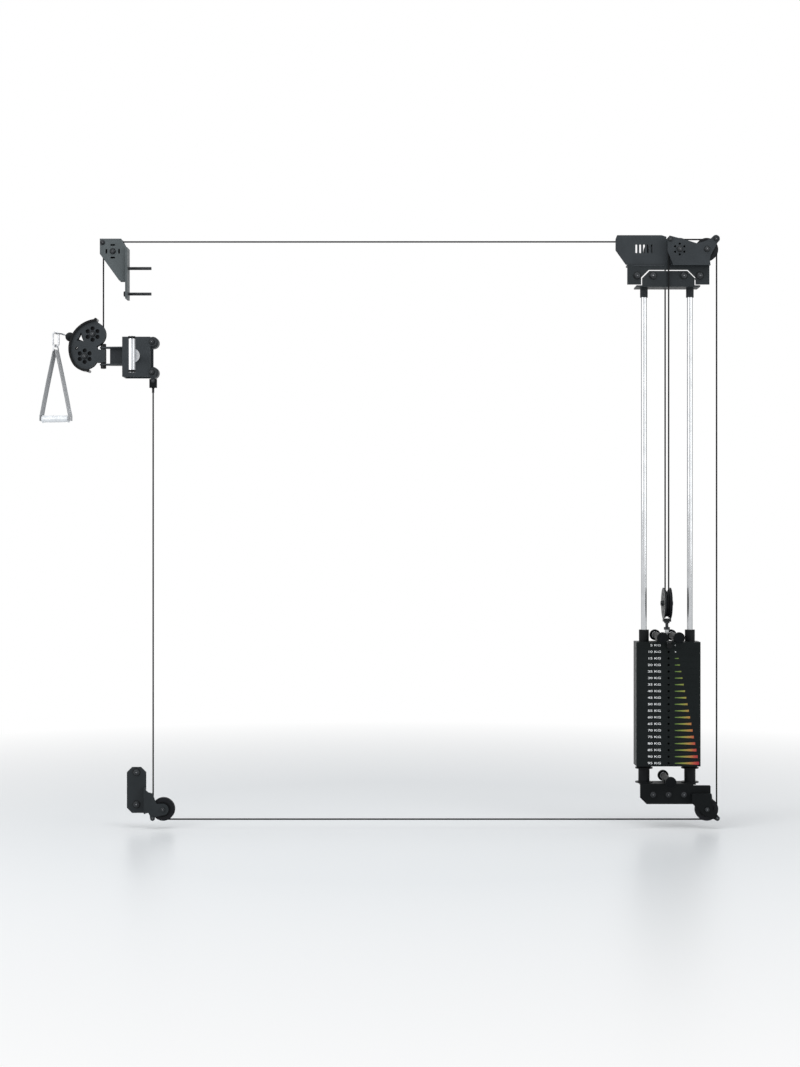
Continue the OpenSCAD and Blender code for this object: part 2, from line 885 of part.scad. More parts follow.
// the two falls that carry the travelling pulley
module cable_falls() {
    color([0.05, 0.05, 0.06]) {
        bar([0, front_y, block_z], [0, front_y, loop_z], cable_r);
        bar([0, back_y, block_z], [0, back_y, left_z], cable_r);
        translate([0, mid_y, block_z])
            rotate([0, 90, 0])
                rotate([0, 0, -90])
                    rotate_extrude(angle = 180)
                        dot([block_groove_r, 0], cable_r);
    }
}

// the outline shared by the carriage's front and back plates
module carriage_2d() {
    translate([carriage_left_x, carriage_z])
        square([carriage_right_x - carriage_left_x, carriage_h]);
    for (i = [0, 1])
        dot([roller_x, roller_z + i * roller_gap], 16);
}

module carriage_holes_2d() {
    for (i = [0, 1])
        dot([roller_x, roller_z + i * roller_gap], axle_r + run);
}

// the carriage's front plate with the ear that holds the cable's anchor
module carriage_front_plate() {
    y0 = carriage_front_y;
    color([0.15, 0.16, 0.17])
        difference() {
            union() {
                plate_y(y0)
                    carriage_2d();
                plate_y(y0)
                    polygon([
                        [rise_x - 9, anchor_z + 18], [rise_x + 9, anchor_z + 18],
                        [rise_x + 9, roller_z], [rise_x - 9, roller_z]
                    ]);
            }
            for (i = [0, 1])
                pin_y([roller_x, roller_z + i * roller_gap], y0 - 1, y0 + plate_t + 1, axle_r + run);
            pin_y(pin_c, y0 - 1, y0 + plate_t + 1, pin_r + run);
            pin_y(anchor_bolt_c, y0 - 1, y0 + plate_t + 1, keeper_r + run);
        }
}

// the carriage's side plate and back plate
module carriage_shell() {
    color([0.13, 0.14, 0.15]) {
        translate([carriage_left_x, -pad_t, carriage_z])
            cube([plate_t, carriage_back_y + pad_t + plate_t, carriage_h]);
        plate_y(carriage_back_y)
            difference() {
                carriage_2d();
                carriage_holes_2d();
            }
    }
}

// the arm that carries the swivel head: two flat plates and an upright web
module carriage_arm() {
    web_x = drop_x + 26;
    color([0.12, 0.13, 0.14]) {
        for (z = [arm_z, arm_z + arm_h - plate_t])
            translate([0, 0, z])
                linear_extrude(plate_t)
                    difference() {
                        union() {
                            polygon([
                                [drop_x, mid_y - 14], [web_x + 10, mid_y - 22], [carriage_left_x, mid_y - 25],
                                [carriage_left_x, mid_y + 25], [web_x + 10, mid_y + 22], [drop_x, mid_y + 14]
                            ]);
                            dot([drop_x, mid_y], 14);
                        }
                        dot([drop_x, mid_y], pivot_r + run);
                    }
        translate([web_x, mid_y - plate_t / 2, arm_z])
            cube([carriage_left_x - web_x, plate_t, arm_h]);
    }
}

// the plastic pads that slide on the column
module wear_pads() {
    color([0.75, 0.76, 0.76])
        for (z = [carriage_z + 8, carriage_z + carriage_h - 38]) {
            translate([carriage_left_x + plate_t, 10, z])
                cube([col_left - seat - carriage_left_x - plate_t, tube_w - 20, 30]);
            translate([-column_x - 22, -pad_t, z])
                cube([44, pad_t - seat, 30]);
            translate([-column_x - 22, tube_w + seat, z])
                cube([44, pad_t - seat, 30]);
        }
}

// a carriage roller with its long hub
module roller(z) {
    color([0.1, 0.1, 0.11])
        difference() {
            union() {
                pin_y([roller_x, z], mid_y - 20, mid_y + 20, roller_r - seat);
                pin_y([roller_x, z], -pad_t + seat, tube_w + pad_t - seat, axle_r + 4);
            }
            pin_y([roller_x, z], -2 * pad_t, tube_w + 2 * pad_t, axle_r + run);
        }
}

module roller_upper() {
    roller(roller_z + roller_gap);
}

module roller_lower() {
    roller(roller_z);
}

// the roller axles, the anchor's bolt and the swivel head's pivot bolt
module carriage_bolts() {
    nut_t = 12;
    back = carriage_back_y + plate_t;
    color([0.2, 0.21, 0.22]) {
        for (i = [0, 1])
            bolt_and_nut_y([roller_x, roller_z + i * roller_gap], carriage_front_y, back, axle_r);
        bolt_and_nut_y(anchor_bolt_c, anchor_y, anchor_y + anchor_d, keeper_r);
        translate([drop_x, mid_y, 0]) {
            translate([0, 0, arm_z - nut_t])
                cylinder(h = nut_t, r = 1.75 * pivot_r, $fn = 6);
            translate([0, 0, arm_z - nut_t / 2])
                cylinder(h = arm_h + nut_t, r = pivot_r);
            translate([0, 0, arm_z + arm_h])
                cylinder(h = nut_t, r = 1.75 * pivot_r, $fn = 6);
        }
    }
}

// the block that ends the cable's lower rise
module anchor_block() {
    color([0.14, 0.15, 0.16])
        difference() {
            translate([rise_x - 14, anchor_y, anchor_z])
                cube([28, anchor_d, anchor_h]);
            translate([rise_x - 15, carriage_front_y - run, anchor_z + 18])
                cube([30, plate_t + 2 * run, anchor_h]);
            bar([rise_x, front_y, anchor_z - 1], [rise_x, front_y, anchor_z + 12], cable_r + run);
            pin_y(anchor_bolt_c, anchor_y - 1, anchor_y + anchor_d + 1, keeper_r + run);
        }
}

// the lock pin's barrel with its flange, flat on the left
module lock_barrel() {
    y0 = barrel_end_y - flange_t;
    y1 = barrel_end_y + flange_t;
    color([0.8, 0.81, 0.83])
        difference() {
            union() {
                pin_y(pin_c, barrel_end_y - 1, carriage_front_y, barrel_r);
                intersection() {
                    pin_y(pin_c, y0, barrel_end_y, flange_r);
                    translate([pin_c.x - barrel_r, y0 - 1, pin_z - flange_r - 1])
                        cube([barrel_r + flange_r + 1, flange_t + 2, 2 * flange_r + 2]);
                }
            }
            pin_y(pin_c, y1, collar_y, pin_r + 3);
            pin_y(pin_c, y0 - 1, y1 + 1, shaft_r + run);
            pin_y(pin_c, collar_y - 1, carriage_front_y + 1, pin_r + run);
        }
}

// the lock pin: a thin shaft, a collar and the nose that enters the column
module lock_pin() {
    color([0.7, 0.71, 0.73]) {
        union() {
            pin_y(pin_c, -grip_bar_out, collar_y, shaft_r);
            pin_y(pin_c, collar_y - collar_t, collar_y, pin_r + 2);
            pin_y(pin_c, collar_y - 1, 15, pin_r);
        }
    }
}

// the space that the lock pin's spring takes between the barrel's end and the collar
module lock_spring() {
    y0 = barrel_end_y + flange_t + seat;
    color([0.6, 0.61, 0.63])
        difference() {
            pin_y(pin_c, y0, collar_y - collar_t - seat, pin_r + 1.5);
            pin_y(pin_c, y0 - 1, collar_y, shaft_r + 1);
        }
}

// the chrome grip bar with its two end caps
module lock_grip() {
    z0 = pin_z + 2.5 - grip_bar_len / 2;
    r = 12.5;
    color([0.85, 0.86, 0.88]) {
        difference() {
            bar([-column_x, -grip_bar_out, z0], [-column_x, -grip_bar_out, z0 + grip_bar_len], r);
            pin_y(pin_c, -grip_bar_out, 0, shaft_r + run);
        }
        for (z = [z0 - 5, z0 + grip_bar_len - 1])
            bar([-column_x, -grip_bar_out, z], [-column_x, -grip_bar_out, z + 6], r + 1);
    }
}

// the outline of the swivel head's two plates
module swivel_2d() {
    inner = guard_r - guard_t - run;
    low_inner = guard_low_r - guard_t - run;
    neck_x = drop_x + pivot_tube_r - 1;
    far = guard_r + 24;
    difference() {
        union() {
            intersection() {
                dot(swivel_up_c, rim_r + 5);
                dot(guard_c, inner);
            }
            intersection() {
                dot(swivel_low_c, rim_r + 5);
                dot(guard_low_c, low_inner);
            }
            intersection() {
                dot(guard_c, inner);
                polygon([
                    guard_c + [-6, far], guard_c + [-far, far],
                    guard_c + far * [cos(guard_turn_a), sin(guard_turn_a)],
                    guard_c, guard_c + [-6, 0]
                ]);
            }
            intersection() {
                dot(guard_low_c, low_inner);
                translate(guard_low_c + [-80, -80])
                    square([87, 100]);
            }
            translate([swivel_low_c.x, arm_z + plate_t + 5])
                square([neck_x - swivel_low_c.x, arm_h - 2 * plate_t - 10]);
        }
        for (c = [swivel_up_c, swivel_low_c]) {
            dot(c, axle_r + run);
            hole_ring_2d(c, 0.55 * groove_r, 0.21 * groove_r);
        }
        polygon([swivel_up_c + [-44.5, 8], swivel_up_c + [-62.5, -25], swivel_up_c + [-35, -27]]);
        dot(swivel_up_c + [-62.5, -55], 6.5);
    }
}

// the seat that the ball stop lies in
module ball_seat() {
    translate([ball_c.x, mid_y, ball_c.y])
        sphere(r = ball_r + seat);
}

// the swivel head's two plates and the tube that turns on the pivot bolt
module swivel_plates() {
    color([0.27, 0.28, 0.3]) {
        difference() {
            union() {
                plate_y(fork_y)
                    swivel_2d();
                plate_y(fork_back_y)
                    swivel_2d();
            }
            ball_seat();
        }
        translate([drop_x, mid_y, arm_z])
            difference() {
                translate([0, 0, plate_t + seat])
                    cylinder(h = arm_h - 2 * plate_t - 2 * seat, r = pivot_tube_r - run);
                cylinder(h = arm_h, r = pivot_r + run);
            }
    }
}

// a stretch of the guard's rim, cut out of a ring by a fan of points
module rim_2d(c, outer, a0, a1) {
    steps = 4;
    angles = [for (i = [0:steps]) a0 + (a1 - a0) * i / steps];
    fan = [for (a = angles) c + 2 * outer * [cos(a), sin(a)]];
    intersection() {
        difference() {
            dot(c, outer);
            dot(c, outer - guard_t);
        }
        polygon(concat([c], fan));
    }
}

// the curved guard rim with rolled ends
module swivel_guard() {
    y0 = fork_y - guard_lip;
    y1 = fork_back_y + plate_t + guard_lip;
    top_a = 95;
    end_a = 276;
    top_p = guard_c + (guard_r - guard_t + roll_r) * [cos(top_a), sin(top_a)];
    end_p = guard_low_c + (guard_low_r - guard_t + roll_r) * [cos(end_a), sin(end_a)];
    color([0.06, 0.06, 0.07])
        difference() {
            plate_y(y0, y1 - y0)
                union() {
                    rim_2d(guard_c, guard_r, top_a, guard_turn_a + 1);
                    rim_2d(guard_low_c, guard_low_r, guard_turn_a, end_a);
                    dot(top_p, roll_r);
                    dot(end_p, roll_r);
                }
            ball_seat();
            bar([ball_c.x, mid_y, ball_c.y] - 60 * [exit_dir.x, 0, exit_dir.y],
                [ball_c.x, mid_y, ball_c.y], cable_r + 3);
        }
}

// the axle bolts and bushes of the swivel head
module swivel_bolts() {
    color([0.25, 0.26, 0.27])
        for (c = [swivel_up_c, swivel_low_c]) {
            bolt_and_nut_y(c, fork_y, fork_back_y + plate_t, axle_r);
            pin_y(c, fork_y + plate_t, fork_back_y, bush_r);
        }
}

module swivel_pulley_upper() {
    pulley_y(swivel_up_c, mid_y);
}

module swivel_pulley_lower() {
    pulley_y(swivel_low_c, mid_y);
}

// the cable round the upper swivel pulley and on to the ball stop
module swivel_cable() {
    last = ball_c - (ball_r + seat) * exit_dir;
    color([0.05, 0.05, 0.06])
        union() {
            cable_turn(swivel_up_c, mid_y, 270 - exit_a, 360);
            bar([exit_from.x, mid_y, exit_from.y], [last.x, mid_y, last.y], cable_r);
            cable_joint([exit_from.x, mid_y, exit_from.y], [exit_dir.x, 0, exit_dir.y]);
        }
}

// the rubber ball stop on the cable's end
module ball_stop() {
    p = [ball_c.x, mid_y, ball_c.y];
    d = [exit_dir.x, 0, exit_dir.y];
    color([0.1, 0.11, 0.11])
        difference() {
            translate(p)
                sphere(r = ball_r);
            bar(p - 30 * d, p + 30 * d, 2);
        }
}

// the thin cable end with its eye
module cable_end() {
    p = [ball_c.x, mid_y, ball_c.y];
    d = [exit_dir.x, 0, exit_dir.y];
    reach = (ball_c.x - eye_c.x - eye_r) / cos(exit_a);
    color([0.35, 0.36, 0.37]) {
        union() {
            bar(p - (ball_r + seat) * d, p + reach * d, 1.95);
            bar(p + (reach - 12) * d, p + (reach - 1) * d, 3);
            translate([eye_c.x, mid_y, eye_c.y])
                rotate_extrude()
                    dot([eye_r, 0], eye_wire_r);
        }
    }
}

// half of a wire loop in the plane of the view
module wire_arc(z, a) {
    translate([snap_x, mid_y, z])
        rotate([90, 0, 0])
            rotate([0, 0, a])
                rotate_extrude(angle = 180)
                    dot([snap_half, 0], wire_r);
}

// the snap hook, open where its gate lies
module snap_hook() {
    z0 = snap_bottom_z + snap_half;
    color([0.8, 0.81, 0.82]) {
        union() {
            wire_arc(snap_top_z, 0);
            wire_arc(z0, 180);
            bar([snap_x + snap_half, mid_y, z0], [snap_x + snap_half, mid_y, snap_top_z], wire_r);
        }
    }
}

// the snap hook's gate, with the round eye it turns on at its foot
module snap_gate() {
    x = snap_x - snap_half;
    color([0.82, 0.83, 0.84])
        union() {
            bar([x, mid_y, gate_z], [x, mid_y, snap_top_z - seat], wire_r - 0.5);
            pin_y([x, gate_z], mid_y - wire_r, mid_y + wire_r, wire_r);
        }
}

// the ring with one straight side that joins the strap to the snap hook
module strap_ring() {
    color([0.85, 0.86, 0.87])
        handle_place()
            union() {
                translate([0, 0, ring_z])
                    rotate([90, 0, 90])
                        rotate_extrude(angle = 180)
                            dot([ring_r, 0], ring_wire_r);
                bar([0, -ring_r, ring_z], [0, ring_r, ring_z], ring_wire_r);
                for (s = [-1, 1])
                    translate([0, s * ring_r, ring_z])
                        sphere(r = ring_wire_r + run);
            }
}

// places the handle's own pieces under the ring, turned about the vertical
module handle_place() {
    translate([snap_x, mid_y, 0])
        rotate([0, 0, -handle_turn])
            children();
}

// the webbing strap in one loop, with the core rod between its ends
module handle_strap() {
    fold_r = ring_wire_r + seat + strap_t;
    color([0.62, 0.63, 0.63])
        handle_place()
            union() {
                translate([0, strap_w / 2, 0])
                    rotate([90, 0, 0])
                        linear_extrude(strap_w)
                            union() {
                                strap_fold_2d(ring_z, fold_r);
                                for (s = [-1, 1])
                                    strap_leg_2d(s, ring_z, fold_r);
                            }
                bar([-strap_half - 3, 0, grip_z], [strap_half + 3, 0, grip_z], core_r);
            }
}

// the fold of webbing over the ring
module strap_fold_2d(z, r) {
    difference() {
        dot([0, z], r);
        dot([0, z], r - strap_t);
        translate([-r, z - 2 * r])
            square([2 * r, 2 * r]);
    }
}

// one leg of the strap from the fold down to the core rod
module strap_leg_2d(s, z, r) {
    x0 = s * (r - strap_t / 2);
    x1 = s * strap_half;
    polygon([
        [x0 - strap_t / 2, z], [x0 + strap_t / 2, z],
        [x1 + strap_t / 2, grip_z + 10], [x1 + strap_t / 2, grip_z - core_r - 3],
        [x1 - strap_t / 2, grip_z - core_r - 3], [x1 - strap_t / 2, grip_z + 10]
    ]);
}

// the hand grip that turns on the core rod
module hand_grip() {
    color([0.93, 0.94, 0.95])
        handle_place()
            difference() {
                union() {
                    bar([-grip_len / 2, 0, grip_z], [grip_len / 2, 0, grip_z], grip_r - 1.5);
                    for (s = [-1, 1])
                        bar([s * (grip_len / 2), 0, grip_z], [s * (grip_len / 2 - 10), 0, grip_z], grip_r);
                }
                bar([-grip_len, 0, grip_z], [grip_len, 0, grip_z], core_r + seat);
            }
}

// the head plate of the stack with the saddles of its two pegs
module head_plate() {
    saddle_h = peg_r + 7.5;
    color([0.07, 0.08, 0.08]) {
        weight(head_plate_z, stem_r + run);
        for (s = [-1, 1])
            difference() {
                translate([s * peg_x - 10, 12, head_plate_top - 1])
                    cube([20, tube_w - 24, saddle_h + 1]);
                pin_y([s * peg_x, head_plate_top + saddle_h], 0, tube_w, peg_r + run);
            }
    }
}

// the bushing tubes that run on the guide rods
module bushing_tubes() {
    tube_h = 46;
    color([0.06, 0.07, 0.07])
        for (s = [-1, 1])
            translate([s * rod_x, mid_y, head_plate_top])
                difference() {
                    cylinder(h = tube_h, r = rod_r + 8.5);
                    translate([0, 0, -1])
                        cylinder(h = tube_h + 2, r = rod_r + 2 * run);
                }
}

// the selector stem with a hole for each weight plate
module selector_stem() {
    color([0.8, 0.81, 0.83])
        difference() {
            union() {
                bar([0, mid_y, stack_z + 2], [0, mid_y, head_plate_top], stem_r);
                bar([0, mid_y, head_plate_top], [0, mid_y, nut_z], stem_r - 4);
            }
            for (i = [0:weight_count])
                pin_y([0, stack_z + i * weight_pitch + weight_t / 2],
                    mid_y - stem_r - 1, mid_y + stem_r + 1, selector_r + run);
        }
}

// the travelling block's two disc plates and the yoke between their feet
module block_plates() {
    hole_r = axle_r + 1 + run;
    color([0.2, 0.21, 0.22]) {
        for (s = [-1, 1])
            translate([s > 0 ? block_gap / 2 : -block_gap / 2 - block_plate_t, 0, 0])
                rotate([90, 0, 90])
                    linear_extrude(block_plate_t)
                        difference() {
                            union() {
                                dot([mid_y, block_z], block_disc_r);
                                translate([mid_y - 14, block_foot_z])
                                    square([28, block_disc_r]);
                            }
                            dot([mid_y, block_z], hole_r);
                            hole_ring_2d([mid_y, block_z], 34, 8);
                        }
        difference() {
            translate([-block_gap / 2 - block_plate_t, mid_y - 14, block_foot_z])
                cube([block_gap + 2 * block_plate_t, 28, block_yoke_t]);
            bar([0, mid_y, block_foot_z - 1], [0, mid_y, block_foot_z + block_yoke_t + 1], hole_r);
        }
    }
}

// the travelling block's axle with its bush, and the stud and nut under its yoke
module block_bolts() {
    r = axle_r + 1;
    outer = block_gap / 2 + block_plate_t;
    color([0.2, 0.21, 0.22]) {
        translate([0, mid_y, block_z])
            rotate([0, 0, -90])
                bolt_and_nut_y([0, 0], -outer, outer, r);
        bar([-block_gap / 2, mid_y, block_z], [block_gap / 2, mid_y, block_z], r + 3);
        union() {
            bar([0, mid_y, nut_z], [0, mid_y, block_foot_z + block_yoke_t], r);
            translate([0, mid_y, nut_z])
                cylinder(h = 10, r = 2 * r, $fn = 6);
            bar([0, mid_y, block_foot_z - 6], [0, mid_y, block_foot_z], 1.8 * r);
        }
    }
}

// the travelling pulley
module block_pulley() {
    color([0.08, 0.09, 0.1])
        translate([0, mid_y, block_z])
            rotate([0, 90, 0])
                pulley_z(block_groove_r, pulley_w + 2, axle_r + 4 + run, 7);
}

// the two band pegs on the head plate
module head_pegs() {
    color([0.08, 0.09, 0.1])
        for (s = [-1, 1])
            peg(s * peg_x, head_plate_top + peg_r + 7.5);
}

// the selector pin with its round knob
module selector_pin() {
    z = head_plate_z + weight_t / 2;
    y = mid_y - weight_d / 2;
    tip_y = mid_y + stem_r - 2;
    color([0.08, 0.08, 0.09]) {
        pin_y([0, z], y - seat - 6, tip_y, selector_r);
        difference() {
            union() {
                pin_y([0, z], y - seat - 8, y - seat, 7);
                pin_y([0, z], y - seat - 26, y - seat - 8, 11);
            }
            pin_y([0, z], y - seat - 6, y, selector_r);
        }
    }
}

base_bracket();
base_pulley_plate();
base_peg();
base_pulley();
guide_rods();
stack_spools();
stack_bumpers();
weight_plates();
rod_bracket();
head_mount_plate();
head_left_cover();
head_front_plate();
head_back_plates();
mount_bolts();
pulley_bolts();
pulley_bushes();
head_pulley_left();
head_pulley_centre();
head_pulley_right();
upper_bracket();
upper_pulley();
lower_bracket();
lower_pulley();
fixed_cable();
cable_upper_drop();
cable_lower_rise();
cable_falls();
carriage_front_plate();
carriage_shell();
carriage_arm();
wear_pads();
roller_upper();
roller_lower();
carriage_bolts();
anchor_block();
lock_barrel();
lock_pin();
lock_spring();
lock_grip();
swivel_plates();
swivel_guard();
swivel_bolts();
swivel_pulley_upper();
swivel_pulley_lower();
swivel_cable();
ball_stop();
cable_end();
snap_hook();
snap_gate();
strap_ring();
handle_strap();
hand_grip();
head_plate();
bushing_tubes();
selector_stem();
block_plates();
block_bolts();
block_pulley();
head_pegs();
selector_pin();
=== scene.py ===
import json
import math

import bmesh
import bpy
from mathutils import Matrix, Vector

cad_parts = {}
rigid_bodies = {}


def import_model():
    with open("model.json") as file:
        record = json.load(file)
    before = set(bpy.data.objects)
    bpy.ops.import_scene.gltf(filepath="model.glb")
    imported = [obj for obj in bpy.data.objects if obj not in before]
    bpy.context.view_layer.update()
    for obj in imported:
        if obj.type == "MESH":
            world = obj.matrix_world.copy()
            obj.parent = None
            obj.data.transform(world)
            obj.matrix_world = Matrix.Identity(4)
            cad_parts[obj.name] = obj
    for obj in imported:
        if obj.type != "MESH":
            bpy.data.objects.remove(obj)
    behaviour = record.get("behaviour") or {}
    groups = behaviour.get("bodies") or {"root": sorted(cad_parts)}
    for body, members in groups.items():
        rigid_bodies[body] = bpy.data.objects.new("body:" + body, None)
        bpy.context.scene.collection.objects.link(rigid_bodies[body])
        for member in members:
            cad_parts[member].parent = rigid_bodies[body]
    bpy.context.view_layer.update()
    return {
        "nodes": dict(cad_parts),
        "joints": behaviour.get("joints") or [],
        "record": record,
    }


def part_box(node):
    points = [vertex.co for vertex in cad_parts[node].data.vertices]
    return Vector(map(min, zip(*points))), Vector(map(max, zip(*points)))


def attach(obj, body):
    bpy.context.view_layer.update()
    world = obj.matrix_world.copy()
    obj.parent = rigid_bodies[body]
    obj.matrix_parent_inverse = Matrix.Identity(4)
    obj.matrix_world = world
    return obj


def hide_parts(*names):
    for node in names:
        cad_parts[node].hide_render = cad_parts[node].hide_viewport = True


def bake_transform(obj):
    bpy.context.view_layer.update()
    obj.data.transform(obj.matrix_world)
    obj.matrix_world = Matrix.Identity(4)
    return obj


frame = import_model()
nodes = frame["nodes"]
joints = {joint["name"]: joint for joint in frame["joints"]}

MM = 0.001
X = Vector((1, 0, 0))
Y = Vector((0, 1, 0))
Z = Vector((0, 0, 1))


def link(obj):
    """Puts an object in the scene."""
    bpy.context.scene.collection.objects.link(obj)


# Camera, at the photograph's viewing angle

CAMERA_PLACE = Vector((-1.0454, -7.562, 1.017))
FOCAL_PIXELS = 1940
IMAGE_HEIGHT = 1067
SENSOR = 36


def make_camera():
    """A level camera that looks along Y."""
    data = bpy.data.cameras.new("camera")
    data.sensor_width = SENSOR
    data.lens = FOCAL_PIXELS * SENSOR / IMAGE_HEIGHT
    camera = bpy.data.objects.new("camera", data)
    camera.location = CAMERA_PLACE
    camera.rotation_euler = (math.radians(90), 0, 0)
    link(camera)
    bpy.context.scene.camera = camera


# Shader building

# cosine between the rounded and the true normal at which an edge counts in full
EDGE_COSINE = 0.86


class Shader:
    """One material with short calls for the nodes that it is made of."""

    def __init__(self, name, color, roughness, metallic=0.0, specular=0.5):
        self.material = bpy.data.materials.new(name)
        self.material.use_nodes = True
        self.tree = self.material.node_tree
        self.surface = self.tree.nodes["Principled BSDF"]
        self.surface.inputs["Base Color"].default_value = (*color, 1)
        self.surface.inputs["Roughness"].default_value = roughness
        self.surface.inputs["Metallic"].default_value = metallic
        self.surface.inputs["Specular IOR Level"].default_value = specular
        self.color = color
        self.place = self.add("ShaderNodeTexCoord").outputs["Object"]

    def add(self, kind, **inputs):
        node = self.tree.nodes.new(kind)
        for name, value in inputs.items():
            self.set(node.inputs[name.replace("_", " ")], value)
        return node

    def set(self, socket, value):
        if isinstance(value, bpy.types.NodeSocket):
            self.tree.links.new(value, socket)
        else:
            socket.default_value = value

    def math(self, operation, a, b=0.0):
        node = self.tree.nodes.new("ShaderNodeMath")
        node.operation = operation
        self.set(node.inputs[0], a)
        self.set(node.inputs[1], b)
        return node.outputs[0]

    def noise(self, size, detail=3.0, stretch=None):
        """Noise whose spots are about size metres wide."""
        place = self.place
        if stretch is not None:
            mapping = self.add("ShaderNodeMapping", Vector=place)
            mapping.inputs["Scale"].default_value = stretch
            place = mapping.outputs[0]
        node = self.add("ShaderNodeTexNoise", Vector=place, Scale=1 / size, Detail=detail)
        return node.outputs["Fac"]

    def range(self, value, low, high, start=0.0, end=1.0):
        """The value's span from low to high, spread over start to end."""
        node = self.add("ShaderNodeMapRange", Value=value)
        node.inputs["From Min"].default_value = low
        node.inputs["From Max"].default_value = high
        node.inputs["To Min"].default_value = start
        node.inputs["To Max"].default_value = end
        return node.outputs[0]

    def mix(self, factor, a, b):
        """Two colours mixed. The node's own colour sockets are inputs 6 and 7 and output 2."""
        node = self.tree.nodes.new("ShaderNodeMix")
        node.data_type = "RGBA"
        self.set(node.inputs["Factor"], factor)
        self.set(node.inputs[6], a)
        self.set(node.inputs[7], b)
        return node.outputs[2]

    def shade(self, gain):
        """The base colour made lighter or darker."""
        return (*[min(1.0, c * gain) for c in self.color], 1)

    def bevel(self, radius):
        """A normal that rounds sharp edges off."""
        return self.add("ShaderNodeBevel", Radius=radius).outputs[0]

    def edges(self, radius):
        """High along sharp edges, for worn paint and for a painted highlight where edges catch light.
        """
        geometry = self.add("ShaderNodeNewGeometry")
        node = self.tree.nodes.new("ShaderNodeVectorMath")
        node.operation = "DOT_PRODUCT"
        self.set(node.inputs[0], self.bevel(radius))
        self.set(node.inputs[1], geometry.outputs["Normal"])
        return self.range(node.outputs["Value"], 1.0, EDGE_COSINE)

    def bump(self, height, depth, radius=0.0):
        node = self.add("ShaderNodeBump", Height=height, Distance=depth)
        node.inputs["Strength"].default_value = 1.0
        if radius:
            self.set(node.inputs["Normal"], self.bevel(radius))
        self.set(self.surface.inputs["Normal"], node.outputs[0])

    def paint(self, color):
        self.set(self.surface.inputs["Base Color"], color)

    def rough(self, value):
        self.set(self.surface.inputs["Roughness"], value)


def powder_coat(name, color, roughness=0.5, grain=1.1 * MM, edge_wear_and_highlight=0.5, specular=0.15):
    """A baked powder finish: fine pebbled skin, cloudy tone and lighter edges, partly worn paint and
    partly a painted highlight.
    """
    s = Shader(name, color, roughness, 0, specular)
    cloud = s.noise(60 * MM, 4)
    speck = s.noise(1.6 * MM, 2)
    tone = s.mix(s.range(cloud, 0.3, 0.7), s.shade(0.9), s.shade(1.1))
    tone = s.mix(s.range(speck, 0.62, 0.75, 0, 0.3), tone, s.shade(1.5))
    # lighter edges: partly worn paint, partly a painted highlight along the sharp edges
    edge = s.math("MULTIPLY", s.edges(1.1 * MM), s.range(s.noise(9 * MM), 0.35, 0.65, edge_wear_and_highlight * 0.5, edge_wear_and_highlight))
    s.paint(s.mix(edge, tone, s.shade(2.8)))
    s.rough(s.range(s.noise(14 * MM), 0.3, 0.7, roughness - 0.06, roughness + 0.08))
    s.bump(s.noise(grain, 2), 0.018 * MM, 0.8 * MM)
    return s.material


def moulded(name, color, roughness=0.42, specular=0.15):
    """Moulded nylon or plastic: an even satin skin with a fine spark texture and scuffs."""
    s = Shader(name, color, roughness, 0, specular)
    scuff = s.range(s.noise(22 * MM, 6), 0.55, 0.75)
    s.paint(s.mix(scuff, s.shade(0.94), s.shade(1.5)))
    s.rough(s.range(s.noise(8 * MM, 5), 0.3, 0.7, roughness - 0.05, roughness + 0.12))
    s.bump(s.noise(0.5 * MM, 2), 0.04 * MM, 0.6 * MM)
    return s.material


def rubber(name, color):
    """Matt rubber with a dusty bloom."""
    s = Shader(name, color, 0.72, 0, 0.12)
    s.paint(s.mix(s.range(s.noise(16 * MM, 5), 0.45, 0.7), s.shade(0.85), s.shade(1.9)))
    s.bump(s.noise(0.8 * MM, 3), 0.12 * MM, 0.5 * MM)
    s.surface.inputs["Sheen Weight"].default_value = 0.02
    return s.material


def metal(name, color, roughness, lay, scratch=1.0, edge=0.6):
    """Bare or plated metal, brushed along the direction that lay shrinks, darker at glancing angles."""
    s = Shader(name, color, roughness, 1.0)
    line = s.noise(0.6 * MM, 3, lay)
    smear = s.noise(45 * MM, 3)
    s.paint(s.mix(s.range(smear, 0.35, 0.7), s.shade(0.9), s.shade(1.05)))
    s.rough(s.range(line, 0.3, 0.7, roughness * 0.85, roughness * 1.2))
    s.surface.inputs["Specular Tint"].default_value = (edge, edge, edge, 1)
    s.bump(line, 0.015 * MM * scratch, 0.5 * MM)
    return s.material


THREAD_PITCH = 1.75 * MM
# the shanks along Y have their thread behind this place
THREAD_FROM_Y = 8 * MM
# the upper bracket's two bolts, left of and above these places, lie along X
SIDE_BOLTS_X = -2.0
SIDE_BOLTS_Z = 1.92


def bolt_black(name, color):
    """Blackened steel, with threads on the shanks that leave the plates along Y or X."""
    s = Shader(name, color, 0.34, 0.6, 0.3)
    axes = s.add("ShaderNodeSeparateXYZ", Vector=s.place).outputs
    behind = s.math("GREATER_THAN", axes["Y"], THREAD_FROM_Y)
    side = s.math("MULTIPLY", s.math("LESS_THAN", axes["X"], SIDE_BOLTS_X),
                  s.math("GREATER_THAN", axes["Z"], SIDE_BOLTS_Z))
    along = s.math("ADD", s.math("MULTIPLY", axes["Y"], s.math("SUBTRACT", 1.0, side)),
                   s.math("MULTIPLY", axes["X"], side))
    wave = s.math("SINE", s.math("MULTIPLY", along, 2 * math.pi / THREAD_PITCH))
    thread = s.math("MULTIPLY", wave, s.math("MAXIMUM", behind, side))
    grain = s.noise(0.9 * MM, 3)
    s.paint(s.mix(s.range(s.noise(10 * MM, 4), 0.4, 0.7), s.shade(0.8), s.shade(1.5)))
    s.rough(s.range(grain, 0.3, 0.7, 0.3, 0.48))
    s.bump(s.math("ADD", s.math("MULTIPLY", thread, 6.0), grain), 0.05 * MM, 0.6 * MM)
    return s.material


